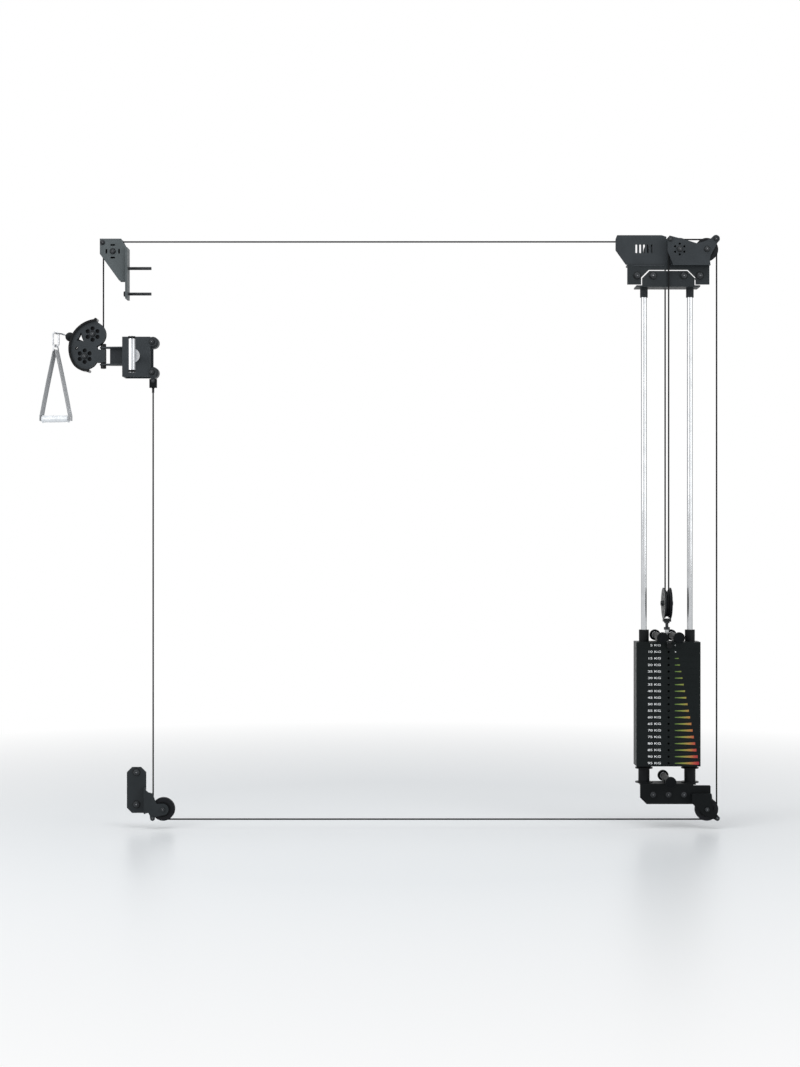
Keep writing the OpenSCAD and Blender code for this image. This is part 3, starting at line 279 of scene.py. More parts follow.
def cable_jacket(name, color):
    """Nylon jacket that lets a little of the lay of the steel strands through."""
    s = Shader(name, color, 0.5, 0, 0.12)
    wave = s.add("ShaderNodeTexWave", Vector=s.place, Scale=120.0, Distortion=0.4)
    wave.bands_direction = "DIAGONAL"
    s.paint(s.mix(s.range(s.noise(30 * MM), 0.4, 0.7), s.shade(0.9), s.shade(1.3)))
    s.bump(wave.outputs["Fac"], 0.005 * MM)
    return s.material


RIB_PITCH = 2.4 * MM
WEAVE_PITCH = 1.3 * MM


def webbing(name, color):
    """Woven nylon webbing: lengthwise ribs crossed by the weft, with painted shade in the hollows, on
    UVs in metres.
    """
    s = Shader(name, color, 0.82)
    uv = s.add("ShaderNodeTexCoord").outputs["UV"]
    axes = s.add("ShaderNodeSeparateXYZ", Vector=uv).outputs
    warp = s.math("SINE", s.math("MULTIPLY", axes["X"], 2 * math.pi / RIB_PITCH))
    weft_place = s.math("ADD", axes["Y"], s.math("MULTIPLY", warp, WEAVE_PITCH * 0.25))
    weft = s.math("SINE", s.math("MULTIPLY", weft_place, 2 * math.pi / WEAVE_PITCH))
    height = s.math("ADD", s.math("MULTIPLY", warp, 0.6), s.math("MULTIPLY", weft, 0.4))
    fuzz = s.noise(0.5 * MM, 4)
    # painted shade: darker down in the weave's hollows, lighter on the ribs, after the bump's height
    tone = s.mix(s.range(height, -1, 1), s.shade(0.84), s.shade(1.06))
    s.paint(s.mix(s.range(fuzz, 0.3, 0.7, 0, 0.3), tone, s.shade(1.15)))
    s.bump(s.math("ADD", height, fuzz), 0.12 * MM)
    s.surface.inputs["Sheen Weight"].default_value = 0.1
    return s.material


def clear_grip(name, color):
    """Milky plastic that lets a little light through."""
    s = Shader(name, color, 0.3)
    s.paint(s.mix(s.range(s.noise(18 * MM, 4), 0.35, 0.7), s.shade(0.93), s.shade(1.04)))
    s.surface.inputs["Subsurface Weight"].default_value = 0.35
    s.surface.inputs["Subsurface Radius"].default_value = (4 * MM, 4 * MM, 4 * MM)
    s.surface.inputs["Coat Weight"].default_value = 0.4
    s.bump(s.noise(0.9 * MM, 2), 0.03 * MM)
    return s.material


def ink(name, color):
    """Printed ink with tiny gaps where it has rubbed off."""
    s = Shader(name, color, 0.55)
    s.paint(s.mix(s.range(s.noise(1.2 * MM, 4), 0.62, 0.72, 0, 0.25), (*color, 1), s.shade(0.35)))
    return s.material


LOAD_COLORS = ((0.0, (0.1, 0.2, 0.05)), (0.35, (0.26, 0.28, 0.06)), (0.6, (0.42, 0.22, 0.06)),
               (0.8, (0.45, 0.08, 0.05)), (1.0, (0.36, 0.02, 0.04)))


def load_ink(name, start, end):
    """Printed bars that run from green over yellow to red between two places along X."""
    s = Shader(name, (0.5, 0.5, 0.1), 0.6, 0, 0.2)
    axes = s.add("ShaderNodeSeparateXYZ", Vector=s.place).outputs
    ramp = s.add("ShaderNodeValToRGB", Fac=s.range(axes["X"], start, end))
    while len(ramp.color_ramp.elements) < len(LOAD_COLORS):
        ramp.color_ramp.elements.new(0.5)
    for element, (place, color) in zip(ramp.color_ramp.elements, LOAD_COLORS):
        element.position = place
        element.color = (*color, 1)
    worn = s.range(s.noise(1.1 * MM, 3), 0.6, 0.72, 0, 0.3)
    s.paint(s.mix(worn, ramp.outputs[0], (0.1, 0.1, 0.05, 1)))
    return s.material


# how much the noise of a brushed metal is squeezed along each axis
ALONG_Z = (1, 1, 0.02)
ALONG_Y = (1, 0.02, 1)
EVENLY = (1, 1, 1)

FINISHES = (
    ("black_powder_coat", powder_coat, (0.034, 0.039, 0.043)),
    # painted shade: a darker copy of the black coat for the base's brackets, for the dimmer light low
    # down
    ("satin_black_coat", powder_coat, (0.0065, 0.0078, 0.0084), 0.5, 1.1 * MM, 0.35, 0.08),
    ("dark_powder_coat", powder_coat, (0.022, 0.026, 0.0285)),
    ("grey_powder_coat", powder_coat, (0.082, 0.094, 0.097), 0.5, 1.1 * MM, 0.4),
    ("black_weight", powder_coat, (0.007, 0.0095, 0.0098), 0.42, 1.6 * MM, 0.25, 0.1),
    ("dark_steel", powder_coat, (0.02, 0.022, 0.023), 0.4, 0.8 * MM, 0.35),
    ("black_peg", moulded, (0.007, 0.008, 0.009), 0.4, 0.04),
    ("black_guard", moulded, (0.0025, 0.003, 0.0035), 0.26, 0.2),
    ("black_pulley", moulded, (0.008, 0.009, 0.011), 0.4),
    ("black_nylon", moulded, (0.006, 0.007, 0.008), 0.45, 0.12),
    ("black_knob", moulded, (0.006, 0.007, 0.008), 0.3),
    ("roller_nylon", moulded, (0.045, 0.05, 0.053), 0.45, 0.12),
    ("grey_nylon", moulded, (0.5, 0.51, 0.51), 0.5, 0.4),
    ("black_rubber", rubber, (0.008, 0.009, 0.0095)),
    ("chrome_rod", metal, (0.56, 0.575, 0.59), 0.12, ALONG_Z, 0.15, 0.2),
    ("chrome_fitting", metal, (0.56, 0.575, 0.595), 0.2, ALONG_Z, 0.4, 0.25),
    ("steel_pin", metal, (0.5, 0.51, 0.53), 0.3, EVENLY),
    ("zinc_wire", metal, (0.56, 0.57, 0.59), 0.32, EVENLY, 3, 0.3),
    ("bronze", metal, (0.55, 0.42, 0.2), 0.35, ALONG_Y),
    ("thin_cable", metal, (0.2, 0.21, 0.22), 0.4, EVENLY, 6),
    ("dark_bolt", bolt_black, (0.035, 0.038, 0.041)),
    ("black_cable", cable_jacket, (0.004, 0.0045, 0.005)),
    ("grey_webbing", webbing, (0.4, 0.405, 0.41)),
    ("white_grip", clear_grip, (0.78, 0.8, 0.82)),
)
MATERIALS = {name: finish(name, *values) for name, finish, *values in FINISHES}


def dress_nodes():
    """Gives each carried over solid the material of its slot in the record."""
    for part in frame["record"]["subparts"]:
        obj = nodes[part["node"]]
        obj.data.materials.clear()
        obj.data.materials.append(MATERIALS[part["material_slot"]])


# Shape building

SHARP_ANGLE = math.radians(35)
# a profile's point on the axis is drawn as a tiny ring
TIP_R = 1e-5


def add_object(name, mesh, slot, material=None, smooth=True):
    """A mesh as a piece of the object."""
    for polygon in mesh.polygons:
        polygon.use_smooth = smooth
    if smooth:
        mesh.set_sharp_from_angle(angle=SHARP_ANGLE)
    mesh.materials.append(material or MATERIALS[slot])
    obj = bpy.data.objects.new(name, mesh)
    link(obj)
    return obj


def add_piece(name, mesh, body, slot, material=None, smooth=True):
    """A mesh as a piece of the object that rides on a body."""
    obj = add_object(name, mesh, slot, material, smooth)
    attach(obj, body)
    return obj


def add_stretched(name, mesh, slot):
    """A mesh as a piece with its place baked into its points, on no body."""
    obj = add_object(name, mesh, slot)
    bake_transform(obj)
    return obj


def mesh_of(name, build):
    """A mesh that build fills in."""
    shape = bmesh.new()
    build(shape)
    bmesh.ops.recalc_face_normals(shape, faces=shape.faces)
    mesh = bpy.data.meshes.new(name)
    shape.to_mesh(mesh)
    shape.free()
    return mesh


def frame_along(direction):
    """Two directions across a direction."""
    helper = Z if abs(direction.z) < 0.9 else X
    side = direction.cross(helper).normalized()
    return side, direction.cross(side).normalized()


def in_mm(profile, start=0.0):
    """A profile given in mm, from a start along the axis."""
    return [(start + along * MM, out * MM) for along, out in profile]


def add_lathe(shape, origin, direction, profile, steps=40):
    """A turned form: profile lists how far along the direction and how far out."""
    side, up = frame_along(direction)
    rings = []
    for along, out in profile:
        ring = []
        for i in range(steps):
            turn = 2 * math.pi * i / steps
            arm = side * math.cos(turn) + up * math.sin(turn)
            ring.append(shape.verts.new(origin + direction * along + arm * max(out, TIP_R)))
        rings.append(ring)
    for low, high in zip(rings, rings[1:]):
        for i in range(steps):
            j = (i + 1) % steps
            shape.faces.new((low[i], low[j], high[j], high[i]))
    return rings


def close_ends(shape, rings):
    """A flat face on the first and on the last ring."""
    shape.faces.new(rings[0])
    shape.faces.new(reversed(rings[-1]))


def add_turned(shape, origin, direction, profile, steps=40):
    """A closed turned form."""
    close_ends(shape, add_lathe(shape, origin, direction, profile, steps))


def add_ring(shape, origin, direction, profile, steps=40):
    """A turned form with a hole, whose profile closes on itself."""
    rings = add_lathe(shape, origin, direction, profile, steps)
    for i in range(steps):
        j = (i + 1) % steps
        shape.faces.new((rings[-1][i], rings[-1][j], rings[0][j], rings[0][i]))


def add_tube(shape, points, radius, sides):
    """A round tube along points."""
    rings = []
    for i, point in enumerate(points):
        before = points[max(i - 1, 0)]
        after = points[min(i + 1, len(points) - 1)]
        direction = (after - before).normalized()
        side, up = frame_along(direction)
        rings.append([
            shape.verts.new(point + radius * (side * math.cos(a) + up * math.sin(a)))
            for a in [2 * math.pi * k / sides for k in range(sides)]
        ])
    for low, high in zip(rings, rings[1:]):
        for i in range(sides):
            j = (i + 1) % sides
            shape.faces.new((low[i], low[j], high[j], high[i]))
    close_ends(shape, rings)


def add_prism(shape, outline, depth):
    """A flat outline thickened by the vector depth."""
    low = [shape.verts.new(p) for p in outline]
    high = [shape.verts.new(p + depth) for p in outline]
    shape.faces.new(low)
    shape.faces.new(reversed(high))
    for i in range(len(outline)):
        j = (i + 1) % len(outline)
        shape.faces.new((low[i], low[j], high[j], high[i]))


# Welds


WELD_RADIUS = 2.2 * MM
WELD_RIPPLE = 2.6 * MM
BRACKET_PLATE = 6 * MM
SIDE_PLATE = 8 * MM


def add_weld(shape, start, end):
    """A bead along an inner corner, which dips by 0.18 between its ripples and narrows at both ends."""
    direction = (end - start).normalized()
    length = (end - start).length
    count = max(8, int(length / WELD_RIPPLE * 4))
    profile = []
    for i in range(count + 1):
        along = length * i / count
        swell = abs(math.sin(math.pi * along / WELD_RIPPLE))
        near_end = min(along, length - along) / (2 * WELD_RADIUS)
        taper = math.sqrt(min(1, near_end + 0.05))
        profile.append((along, WELD_RADIUS * (0.82 + 0.18 * swell) * taper))
    add_turned(shape, start, direction, profile, 12)


def make_welds():
    """The fillet welds along the corners of the welded brackets, read from their boxes."""
    plate = BRACKET_PLATE
    half = plate / 2
    gap = 8 * MM
    long_gap = 20 * MM
    cut_corner = 36 * MM
    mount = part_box("head_mount_plate")
    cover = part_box("head_left_cover")
    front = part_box("head_front_plate")
    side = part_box("upper_bracket")
    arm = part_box("carriage_arm")
    shell_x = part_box("carriage_shell")[0].x
    shelf_z = mount[1].z
    side_x = side[1].x - SIDE_PLATE
    side_ends = side[0].z + 75 * MM, side[1].z - 60 * MM
    side_corners = 12 * MM, 63 * MM
    arm_ends = arm[0].y + half, arm[1].y - half
    web_y = (arm[0].y + arm[1].y) / 2
    web_ends = arm[0].z + gap, arm[1].z - gap
    # the shelf's beads run along X: from, to, Y and Z
    shelf_beads = (
        (mount[0].x + long_gap, front[0].x - gap, -plate, shelf_z - plate),
        (mount[0].x + gap, cover[1].x - plate, plate, shelf_z),
        (front[0].x + cut_corner, mount[1].x - long_gap, front[1].y, shelf_z),
    )
    # each bead's two ends, in metres
    runs = {
        "frame": [((start, y, z), (end, y, z)) for start, end, y, z in shelf_beads] + [
            ((side_x, y, side_ends[0]), (side_x, y, side_ends[1])) for y in side_corners
        ],
        "carriage": [
            ((shell_x, arm_ends[0], z), (shell_x, arm_ends[1], z)) for z in (arm[0].z, arm[1].z)
        ] + [
            ((shell_x, y, web_ends[0]), (shell_x, y, web_ends[1])) for y in (web_y - half, web_y + half)
        ],
    }
    for body, ends in runs.items():
        def build(shape, ends=ends):
            for start, end in ends:
                add_weld(shape, Vector(start), Vector(end))
        add_piece(body + "_welds", mesh_of(body + "_welds", build), body, "black_powder_coat")


# Pulleys and bolts


PULLEYS = (
    "base_wheel_spin", "lower_wheel_spin", "upper_wheel_spin", "head_left_spin", "head_centre_spin",
    "head_right_spin", "swivel_upper_spin", "swivel_lower_spin", "block_wheel_spin",
)
BEARING_IN = 8.6 * MM
BEARING_OUT = 13.6 * MM
BEARING_FACE = 5.2 * MM
# the travelling pulley's bearing is this much larger
BLOCK_EXTRA = 1 * MM


def make_bearings():
    """The bearing's two rims and the sunk seal between them, on both sides of each pulley."""
    for name in PULLEYS:
        joint = joints[name]
        centre = Vector(joint["pos_m"])
        axis = Vector(joint["axis"]).normalized()
        extra = BLOCK_EXTRA if name == "block_wheel_spin" else 0
        face = BEARING_FACE + extra / 2
        inner = BEARING_IN + extra
        outer = BEARING_OUT + extra
        rim = face + 0.5 * MM
        seal = face + 0.2 * MM
        profile = [(face, inner), (rim, inner), (rim, inner + 1.3 * MM), (seal, inner + 1.5 * MM),
                   (seal, outer - 1.4 * MM), (rim, outer - 1.2 * MM), (rim, outer), (face, outer)]
        def build(shape, centre=centre, axis=axis, profile=profile):
            for side in (-1, 1):
                add_ring(shape, centre, axis * side, profile)
        add_piece(name + "_bearing", mesh_of(name, build), joint["child"], "steel_pin")


# joint on a bolt's axis, the bolt's place beside it along X and Z, its head's outer face along Y
# and its shank's radius, all in mm
HEADS = (
    ("head_centre_spin", 0, 0, -42, 5), ("head_right_spin", 0, 0, -42, 5),
    ("head_left_spin", 0, 0, 62.5, 5), ("upper_wheel_spin", 0, 0, 4, 5),
    ("lower_wheel_spin", 0, 0, -40, 5), ("base_wheel_spin", 0, 0, -40, 5),
    ("upper_roller_spin", 0, 0, -22, 5), ("lower_roller_spin", 0, 0, -22, 5),
    ("swivel_upper_spin", 0, 0, 12.5, 5), ("swivel_lower_spin", 0, 0, 12.5, 5),
    ("head_centre_spin", -37.4, 39, -40.8, 4), ("head_right_spin", 34.5, 40, -40.8, 4),
    ("upper_wheel_spin", -40, 34, 5.2, 4), ("lower_wheel_spin", -40, -34.5, -39, 4),
    ("base_wheel_spin", 40, -34.5, -39, 4), ("lower_roller_spin", 5.2, -35, -26.8, 4),
)
HOLE_FILL = 0.45 * MM
WASHER = 2 * MM
# a head's height in shank radii
HEAD_HEIGHT = 1.2


def bolt_heads():
    """Each visible bolt head's outer face, outward direction, shank radius and body."""
    heads = []
    for mount in frame["record"]["mounts"]:
        if "bolt" in mount["name"]:
            axis = Vector(mount["axis"])
            plate = SIDE_PLATE if mount["name"].startswith("upper") else BRACKET_PLATE
            shank = mount["dims"]["r_mm"] * MM + HOLE_FILL
            face = Vector(mount["pos_m"]) - axis * (plate + WASHER + HEAD_HEIGHT * shank)
            heads.append((face, -axis, shank, "frame"))
    for name, across, up, face, shank in HEADS:
        joint = joints[name]
        place = Vector(joint["pos_m"]) + X * across * MM + Z * up * MM
        place.y = face * MM
        heads.append((place, -Y, shank * MM, joint["parent"]))
    return heads


# mm along and shares of the shank's radius out: a domed crown and a bright dot at its centre, a painted
# highlight, from the head's face, and a dark ring round the washer, a painted contact shadow, from the
# plate
CROWN = ((-0.3, 1.5), (0.3, 1.4), (0.8, 1.1), (1.0, 0.75), (1.0, 0.5), (0.4, 0.42), (0.4, 0))
# painted highlight: a bright steel dot on each head's centre
HIGHLIGHT_DOT = ((0.3, 0.26), (0.6, 0.2), (0.7, 0))
# painted contact shadow: a near-black ring round each washer
SHADOW_RING = ((-0.1, 2.0), (-0.1, 2.4), (0.6, 2.3), (1.2, 2.06), (1.2, 2.0))
BOLT_FACES = (
    ("crowns", CROWN, add_turned, 36, "dark_bolt"),
    ("centres", HIGHLIGHT_DOT, add_turned, 20, "steel_pin"),
    ("rings", SHADOW_RING, add_ring, 36, "black_rubber"),
)


def make_bolt_faces():
    """A domed crown on each head, with a painted highlight as a bright centre dot and a painted shadow
    as a dark washer ring.
    """
    heads = bolt_heads()
    for body in sorted({head[3] for head in heads}):
        own = [head[:3] for head in heads if head[3] == body]
        for name, profile, add, steps, slot in BOLT_FACES:
            def build(shape, own=own, profile=profile, add=add, steps=steps):
                for face, out, shank in own:
                    start = -HEAD_HEIGHT * shank - WASHER if profile is SHADOW_RING else 0
                    scaled = [(start + along * MM, share * shank) for along, share in profile]
                    add(shape, face, out, scaled, steps)
            add_piece(f"{body}_bolt_{name}", mesh_of(name, build), body, slot)


PIVOT_R = 10.6 * MM
PIVOT_INNER_R = 10 * MM
PIVOT_END_GAP = 6.4 * MM
# along and out from the arm's face, in mm
PIVOT_CAP = ((0.2, 9.4), (0.2, 10.9), (11.4, 10.9), (12.6, 9.6), (12.8, 6), (12.2, 5), (12.2, 0))


def make_pivot_cover():
    """The black sleeve and the two round caps on the swivel head's pivot."""
    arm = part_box("carriage_arm")
    place = Vector(joints["swivel_turn"]["pos_m"])
    place.z = 0
    low, high = arm[0].z, arm[1].z
    def build_sleeve(shape):
        foot, top = low + PIVOT_END_GAP, high - PIVOT_END_GAP
        profile = [(foot, PIVOT_INNER_R), (foot, PIVOT_R - 0.6 * MM), (foot + 0.8 * MM, PIVOT_R),
                   (top - 0.8 * MM, PIVOT_R), (top, PIVOT_R - 0.6 * MM), (top, PIVOT_INNER_R)]
        add_ring(shape, place, Z, profile, 48)
    def build_caps(shape):
        for start, out in ((high, 1), (-low, -1)):
            add_turned(shape, place, Z * out, in_mm(PIVOT_CAP, start), 48)
    add_piece("pivot_sleeve", mesh_of("pivot_sleeve", build_sleeve), "swivel", "black_guard")
    add_piece("pivot_caps", mesh_of("pivot_caps", build_caps), "carriage", "black_guard")


GRIP_BAR_R = 13.1 * MM
GRIP_FLUTES = 10
FLUTE_DEPTH = 0.5 * MM
SLEEVE_INSET = 6 * MM
CAP_R = 14.3 * MM


def make_grip_bar():
    """The fluted aluminium sleeve of the lock's grip bar, and its black end caps."""
    low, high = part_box("lock_grip")
    x, y = (low.x + high.x) / 2, (low.y + high.y) / 2
    def build_sleeve(shape):
        steps = 12 * GRIP_FLUTES
        foot = low.z + SLEEVE_INSET
        outline = []
        for i in range(steps):
            turn = 2 * math.pi * i / steps
            out = GRIP_BAR_R + FLUTE_DEPTH * abs(math.sin(turn * GRIP_FLUTES / 2))
            outline.append(Vector((x + out * math.cos(turn), y + out * math.sin(turn), foot)))
        add_prism(shape, outline, Z * (high.z - low.z - 2 * SLEEVE_INSET))
    def build_caps(shape):
        for start, out in ((high.z, 1), (-low.z, -1)):
            profile = [(start - 10 * MM, 13 * MM), (start - 10 * MM, CAP_R - 0.4 * MM),
                       (start - 9.4 * MM, CAP_R), (start - 1.4 * MM, CAP_R),
                       (start + 0.2 * MM, CAP_R - 1.8 * MM), (start + 0.4 * MM, 0)]
            add_turned(shape, Vector((x, y, 0)), Z * out, profile, 48)
    add_piece("grip_bar_sleeve", mesh_of("grip_bar_sleeve", build_sleeve), "lock", "chrome_fitting")
    add_piece("grip_bar_caps", mesh_of("grip_bar_caps", build_caps), "lock", "black_rubber")


# Weight stack markings


LABEL_RIGHT = -29.5 * MM
LABEL_HEIGHT = 8.2 * MM
LABEL_STRETCH = 1.66
# share of a letter's height in the font's own size
CAPITAL_SHARE = 0.7
INK_THICK = 0.12 * MM
INK_SINK = 0.05 * MM
BAR_LEFT = 24 * MM
BAR_RIGHT = 118 * MM
SHORT_BARS = (3 * MM, 5 * MM)
BAR_SHORTEST = 10 * MM
BAR_HALF_LEFT = 1.4 * MM
BAR_GROWTH = 4.6 * MM
PLATE_COUNT = 19
PLATE_STEP_KG = 5


def text_mesh(words, height):
    """Bold wide figures, upright and facing the front, right aligned at the origin."""
    curve = bpy.data.curves.new("words", "FONT")
    curve.body = words
    curve.size = height / CAPITAL_SHARE
    curve.offset = 0.012 * height
    curve.extrude = INK_THICK
    curve.align_x = "RIGHT"
    curve.align_y = "CENTER"
    curve.resolution_u = 3
    obj = bpy.data.objects.new("words", curve)
    link(obj)
    mesh = bpy.data.meshes.new_from_object(obj.evaluated_get(bpy.context.evaluated_depsgraph_get()))
    bpy.data.objects.remove(obj)
    bpy.data.curves.remove(curve)
    upright = Matrix.Rotation(math.radians(90), 4, "X")
    mesh.transform(upright @ Matrix.Diagonal((LABEL_STRETCH, 1, 1, 1)))
    return mesh


def plate_middles():
    """The height of each plate's middle, from the head plate down."""
    low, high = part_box("weight_plates")
    thickness = (high.z - low.z) / (PLATE_COUNT - 1)
    middle = low.z + thickness * (PLATE_COUNT - 0.5)
    return [middle - thickness * i for i in range(PLATE_COUNT)]


def bar_length(i):
    """How long plate i's bar is: two short ones, then one more step for each plate."""
    if i < len(SHORT_BARS):
        return SHORT_BARS[i]
    return BAR_SHORTEST + (BAR_RIGHT - BAR_LEFT - BAR_SHORTEST) * (i - 1) / (PLATE_COUNT - 2)


def make_labels():
    """The figures on the plates, and a bar that grows with the load."""
    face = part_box("weight_plates")[0].y - INK_SINK
    bars_ink = load_ink("load_bars", BAR_LEFT, BAR_RIGHT)
    white_ink = ink("label_ink", (0.86, 0.87, 0.87))
    for i, z in enumerate(plate_middles()):
        body = "lift" if i == 0 else "frame"
        figures = text_mesh(f"{PLATE_STEP_KG * (i + 1)} KG", LABEL_HEIGHT)
        figures.transform(Matrix.Translation((LABEL_RIGHT, face, z)))
        add_piece(f"figures_{i + 1}", figures, body, "white_grip", white_ink, False)
        def build(shape, i=i, z=z):
            length = bar_length(i)
            half_right = BAR_HALF_LEFT + BAR_GROWTH * length / (BAR_RIGHT - BAR_LEFT)
            corners = ((BAR_LEFT, -BAR_HALF_LEFT), (BAR_LEFT + length, -half_right),
                       (BAR_LEFT + length, half_right), (BAR_LEFT, BAR_HALF_LEFT))
            add_prism(shape, [Vector((x, face, z + up)) for x, up in corners], -Y * INK_THICK)
        material = white_ink if i < len(SHORT_BARS) else bars_ink
        add_piece(f"load_bar_{i + 1}", mesh_of("load_bar", build), body, "white_grip", material, False)


# Handle


def handle_frame():
    """Where the grip's axis is: its middle, its own X along the grip and Y through the hand."""
    joint = joints["grip_spin"]
    along = Vector(joint["axis"]).normalized()
    across = Z.cross(along)
    matrix = Matrix((along, across, Z)).transposed().to_4x4()
    matrix.translation = Vector(joint["pos_m"])
    return matrix


STRAP_WIDTH = 38 * MM
STRAP_THICK = 3.1 * MM
STRAP_HALF = 61 * MM
STRAP_RING = 265.7 * MM
STRAP_FOLD = 4.55 * MM
STRAP_FOOT = 8 * MM
BEND_START = 8 * MM
BEND_HEIGHT = 9 * MM
BEND_IN = 1.6 * MM
STRAP_BOW = 1.2 * MM


def strap_path():
    """The middle line of the webbing in the handle's XZ plane."""
    points = [(STRAP_HALF, z) for z in (-STRAP_FOOT, 0, 6 * MM)]
    bend = 12
    for i in range(bend + 1):
        t = i / bend
        points.append((STRAP_HALF - BEND_IN * t * t, BEND_START + BEND_HEIGHT * t))
    run = 16
    top = Vector((STRAP_FOLD, STRAP_RING))
    foot = Vector(points[-1])
    for i in range(1, run + 1):
        t = i / run
        p = foot.lerp(top, t)
        points.append((p.x + STRAP_BOW * math.sin(math.pi * t), p.y))
    arc = 8
    for i in range(1, arc):
        turn = math.pi / 2 * i / arc
        points.append((STRAP_FOLD * math.cos(turn), STRAP_RING + STRAP_FOLD * math.sin(turn)))
    points.append((0, STRAP_RING + STRAP_FOLD))
    return points + [(-x, z) for x, z in reversed(points[:-1])]


def add_ribbon(shape, path, width, thickness, uv_layer):
    """Webbing with rounded selvedges and lengthwise ribs, with UVs in metres."""
    # shares of the width and of half the thickness
    ribs = 8
    across = [(-0.5, 0.3)]
    for i in range(ribs * 2 + 1):
        across.append((-0.47 + 0.94 * i / (ribs * 2), 1.0 if i % 2 else 0.86))
    across.append((0.5, 0.3))
    section = across + [(y, -h) for y, h in reversed(across)]
    rings = []
    length = 0.0
    lengths = []
    for i, (x, z) in enumerate(path):
        before = Vector(path[max(i - 1, 0)])
        after = Vector(path[min(i + 1, len(path) - 1)])
        tangent = (after - before).normalized()
        normal = Vector((-tangent.y, tangent.x))
        if i:
            length += (Vector((x, z)) - Vector(path[i - 1])).length
        lengths.append(length)
        ring = []
        for y, h in section:
            p = Vector((x, z)) + normal * (h * thickness / 2)
            ring.append(shape.verts.new((p.x, y * width, p.y)))
        rings.append(ring)
    count = len(section)
    for k, (low, high) in enumerate(zip(rings, rings[1:])):
        for i in range(count):
            j = (i + 1) % count
            face = shape.faces.new((low[i], low[j], high[j], high[i]))
            corners = ((i, k), (j, k), (j, k + 1), (i, k + 1))
            for loop, (a, b) in zip(face.loops, corners):
                loop[uv_layer].uv = (section[a][0] * width, lengths[b])
    close_ends(shape, rings)


def make_strap():
    """The webbing loop, in place of the plain solid."""
    place = handle_frame()
    path = strap_path()
    def build(shape):
        uv_layer = shape.loops.layers.uv.new("UVMap")
        add_ribbon(shape, path, STRAP_WIDTH, STRAP_THICK, uv_layer)
    mesh = mesh_of("strap", build)
    mesh.transform(place)
    strap = add_piece("strap_webbing", mesh, "handle", "grey_webbing")
    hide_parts("handle_strap")


STITCH = 3.2 * MM
STITCH_GAP = 1.0 * MM
THREAD_R = 0.42 * MM


def add_stitches(shape, start, end, normal):
    """A row of short raised threads."""
    direction = (end - start).normalized()
    length = (end - start).length
    count = int(length / (STITCH + STITCH_GAP))
    for i in range(count):
        a = start + direction * (i * (STITCH + STITCH_GAP))
        b = a + direction * STITCH
        middle = (a + b) / 2
        add_tube(shape, [a - normal * 0.3 * MM, a + direction * 0.5 * MM + normal * 0.35 * MM,
                         middle + normal * 0.5 * MM, b - direction * 0.5 * MM + normal * 0.35 * MM,
                         b - normal * 0.3 * MM], THREAD_R, 6)


SEAM_INSET = 5 * MM
SEAM_FOOT = 20 * MM
SEAM_TOP = 50 * MM
TACK_BELOW_RING = 14 * MM
TACK_ROWS = 3
TACK_STEP = 2.2 * MM


def make_strap_seams():
    """A box of stitches with a cross on each leg near the grip, and a bar tack under the ring."""
    place = handle_frame()
    half = STRAP_WIDTH / 2 - SEAM_INSET
    path = strap_path()
    def point_at(height, side):
        """The place on one leg's outer face at a height."""
        for (x0, z0), (x1, z1) in zip(path, path[1:]):
            if x0 > 0 and z0 <= height <= z1:
                t = (height - z0) / (z1 - z0)
                return Vector((side * (x0 + (x1 - x0) * t + STRAP_THICK / 2), 0, height))
        return Vector((side * STRAP_HALF, 0, height))
    def build(shape):
        for side in (-1, 1):
            low = point_at(SEAM_FOOT, side)
            high = point_at(SEAM_TOP, side)
            out = Vector((side, 0, 0.2)).normalized()
            a, b = low - Y * half, low + Y * half
            c, d = high + Y * half, high - Y * half
            for start, end in ((a, b), (b, c), (c, d), (d, a), (a, c), (b, d)):
                add_stitches(shape, start, end, out)
            near_ring = point_at(STRAP_RING - TACK_BELOW_RING, side)
            for k in range(TACK_ROWS):
                row = near_ring - Z * TACK_STEP * k
                add_stitches(shape, row - Y * half, row + Y * half, out)
    mesh = mesh_of("seams", build)
    mesh.transform(place)
    add_piece("strap_stitching", mesh, "handle", "grey_webbing", MATERIALS["white_grip"])


def mirrored(profile):
    """The same profile at a form's other end."""
    return [(-along, out) for along, out in reversed(profile)]


# along and out from the webbing's middle line, in mm
ROD_END = ((-3, 0), (-3, 3.5), (-2.4, 5), (-2.2, 5), (-2.2, 8.5), (-1.7, 8.8), (-1.7, 5))


def make_rod_ends():
    """The core rod with a washer and a domed end at each side of the strap."""
    place = handle_frame()
    end = in_mm(ROD_END, -STRAP_HALF)
    def build(shape):
        add_turned(shape, Vector((0, 0, 0)), X, end + mirrored(end))
    mesh = mesh_of("rod", build)
    mesh.transform(place)
    add_piece("strap_core_rod", mesh, "handle", "zinc_wire")


GRIP_HALF = 56 * MM
GRIP_R = 13.4 * MM
GRIP_CROWN = 0.5 * MM
GROOVE_DEPTH = 0.35 * MM
GRIP_ROWS = 13
# along and out from the grip's end, in mm
GRIP_FLANGE = ((0, 5.4), (0, 14.6), (0.8, 15.5), (3.4, 15.5), (4.4, 14.6), (5, 13.3))


def make_grip():
    """The hand grip: a slightly crowned tube with end flanges and shallow rings."""
    flange = in_mm(GRIP_FLANGE, -GRIP_HALF)
    inner = GRIP_HALF - 8 * MM
    tube = []
    for i in range(GRIP_ROWS * 4 + 1):
        t = i / (GRIP_ROWS * 4)
        crown = GRIP_CROWN * math.cos(math.pi * (t - 0.5))
        groove = GROOVE_DEPTH if i % 4 == 0 else 0
        tube.append((-inner + 2 * inner * t, GRIP_R + crown - groove))
    profile = flange + tube + mirrored(flange)
    mesh = mesh_of("grip", lambda shape: add_ring(shape, Vector((0, 0, 0)), X, profile, 56))
    mesh.transform(handle_frame())
    grip = add_piece("grip_tube", mesh, "grip", "white_grip")
    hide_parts("hand_grip")


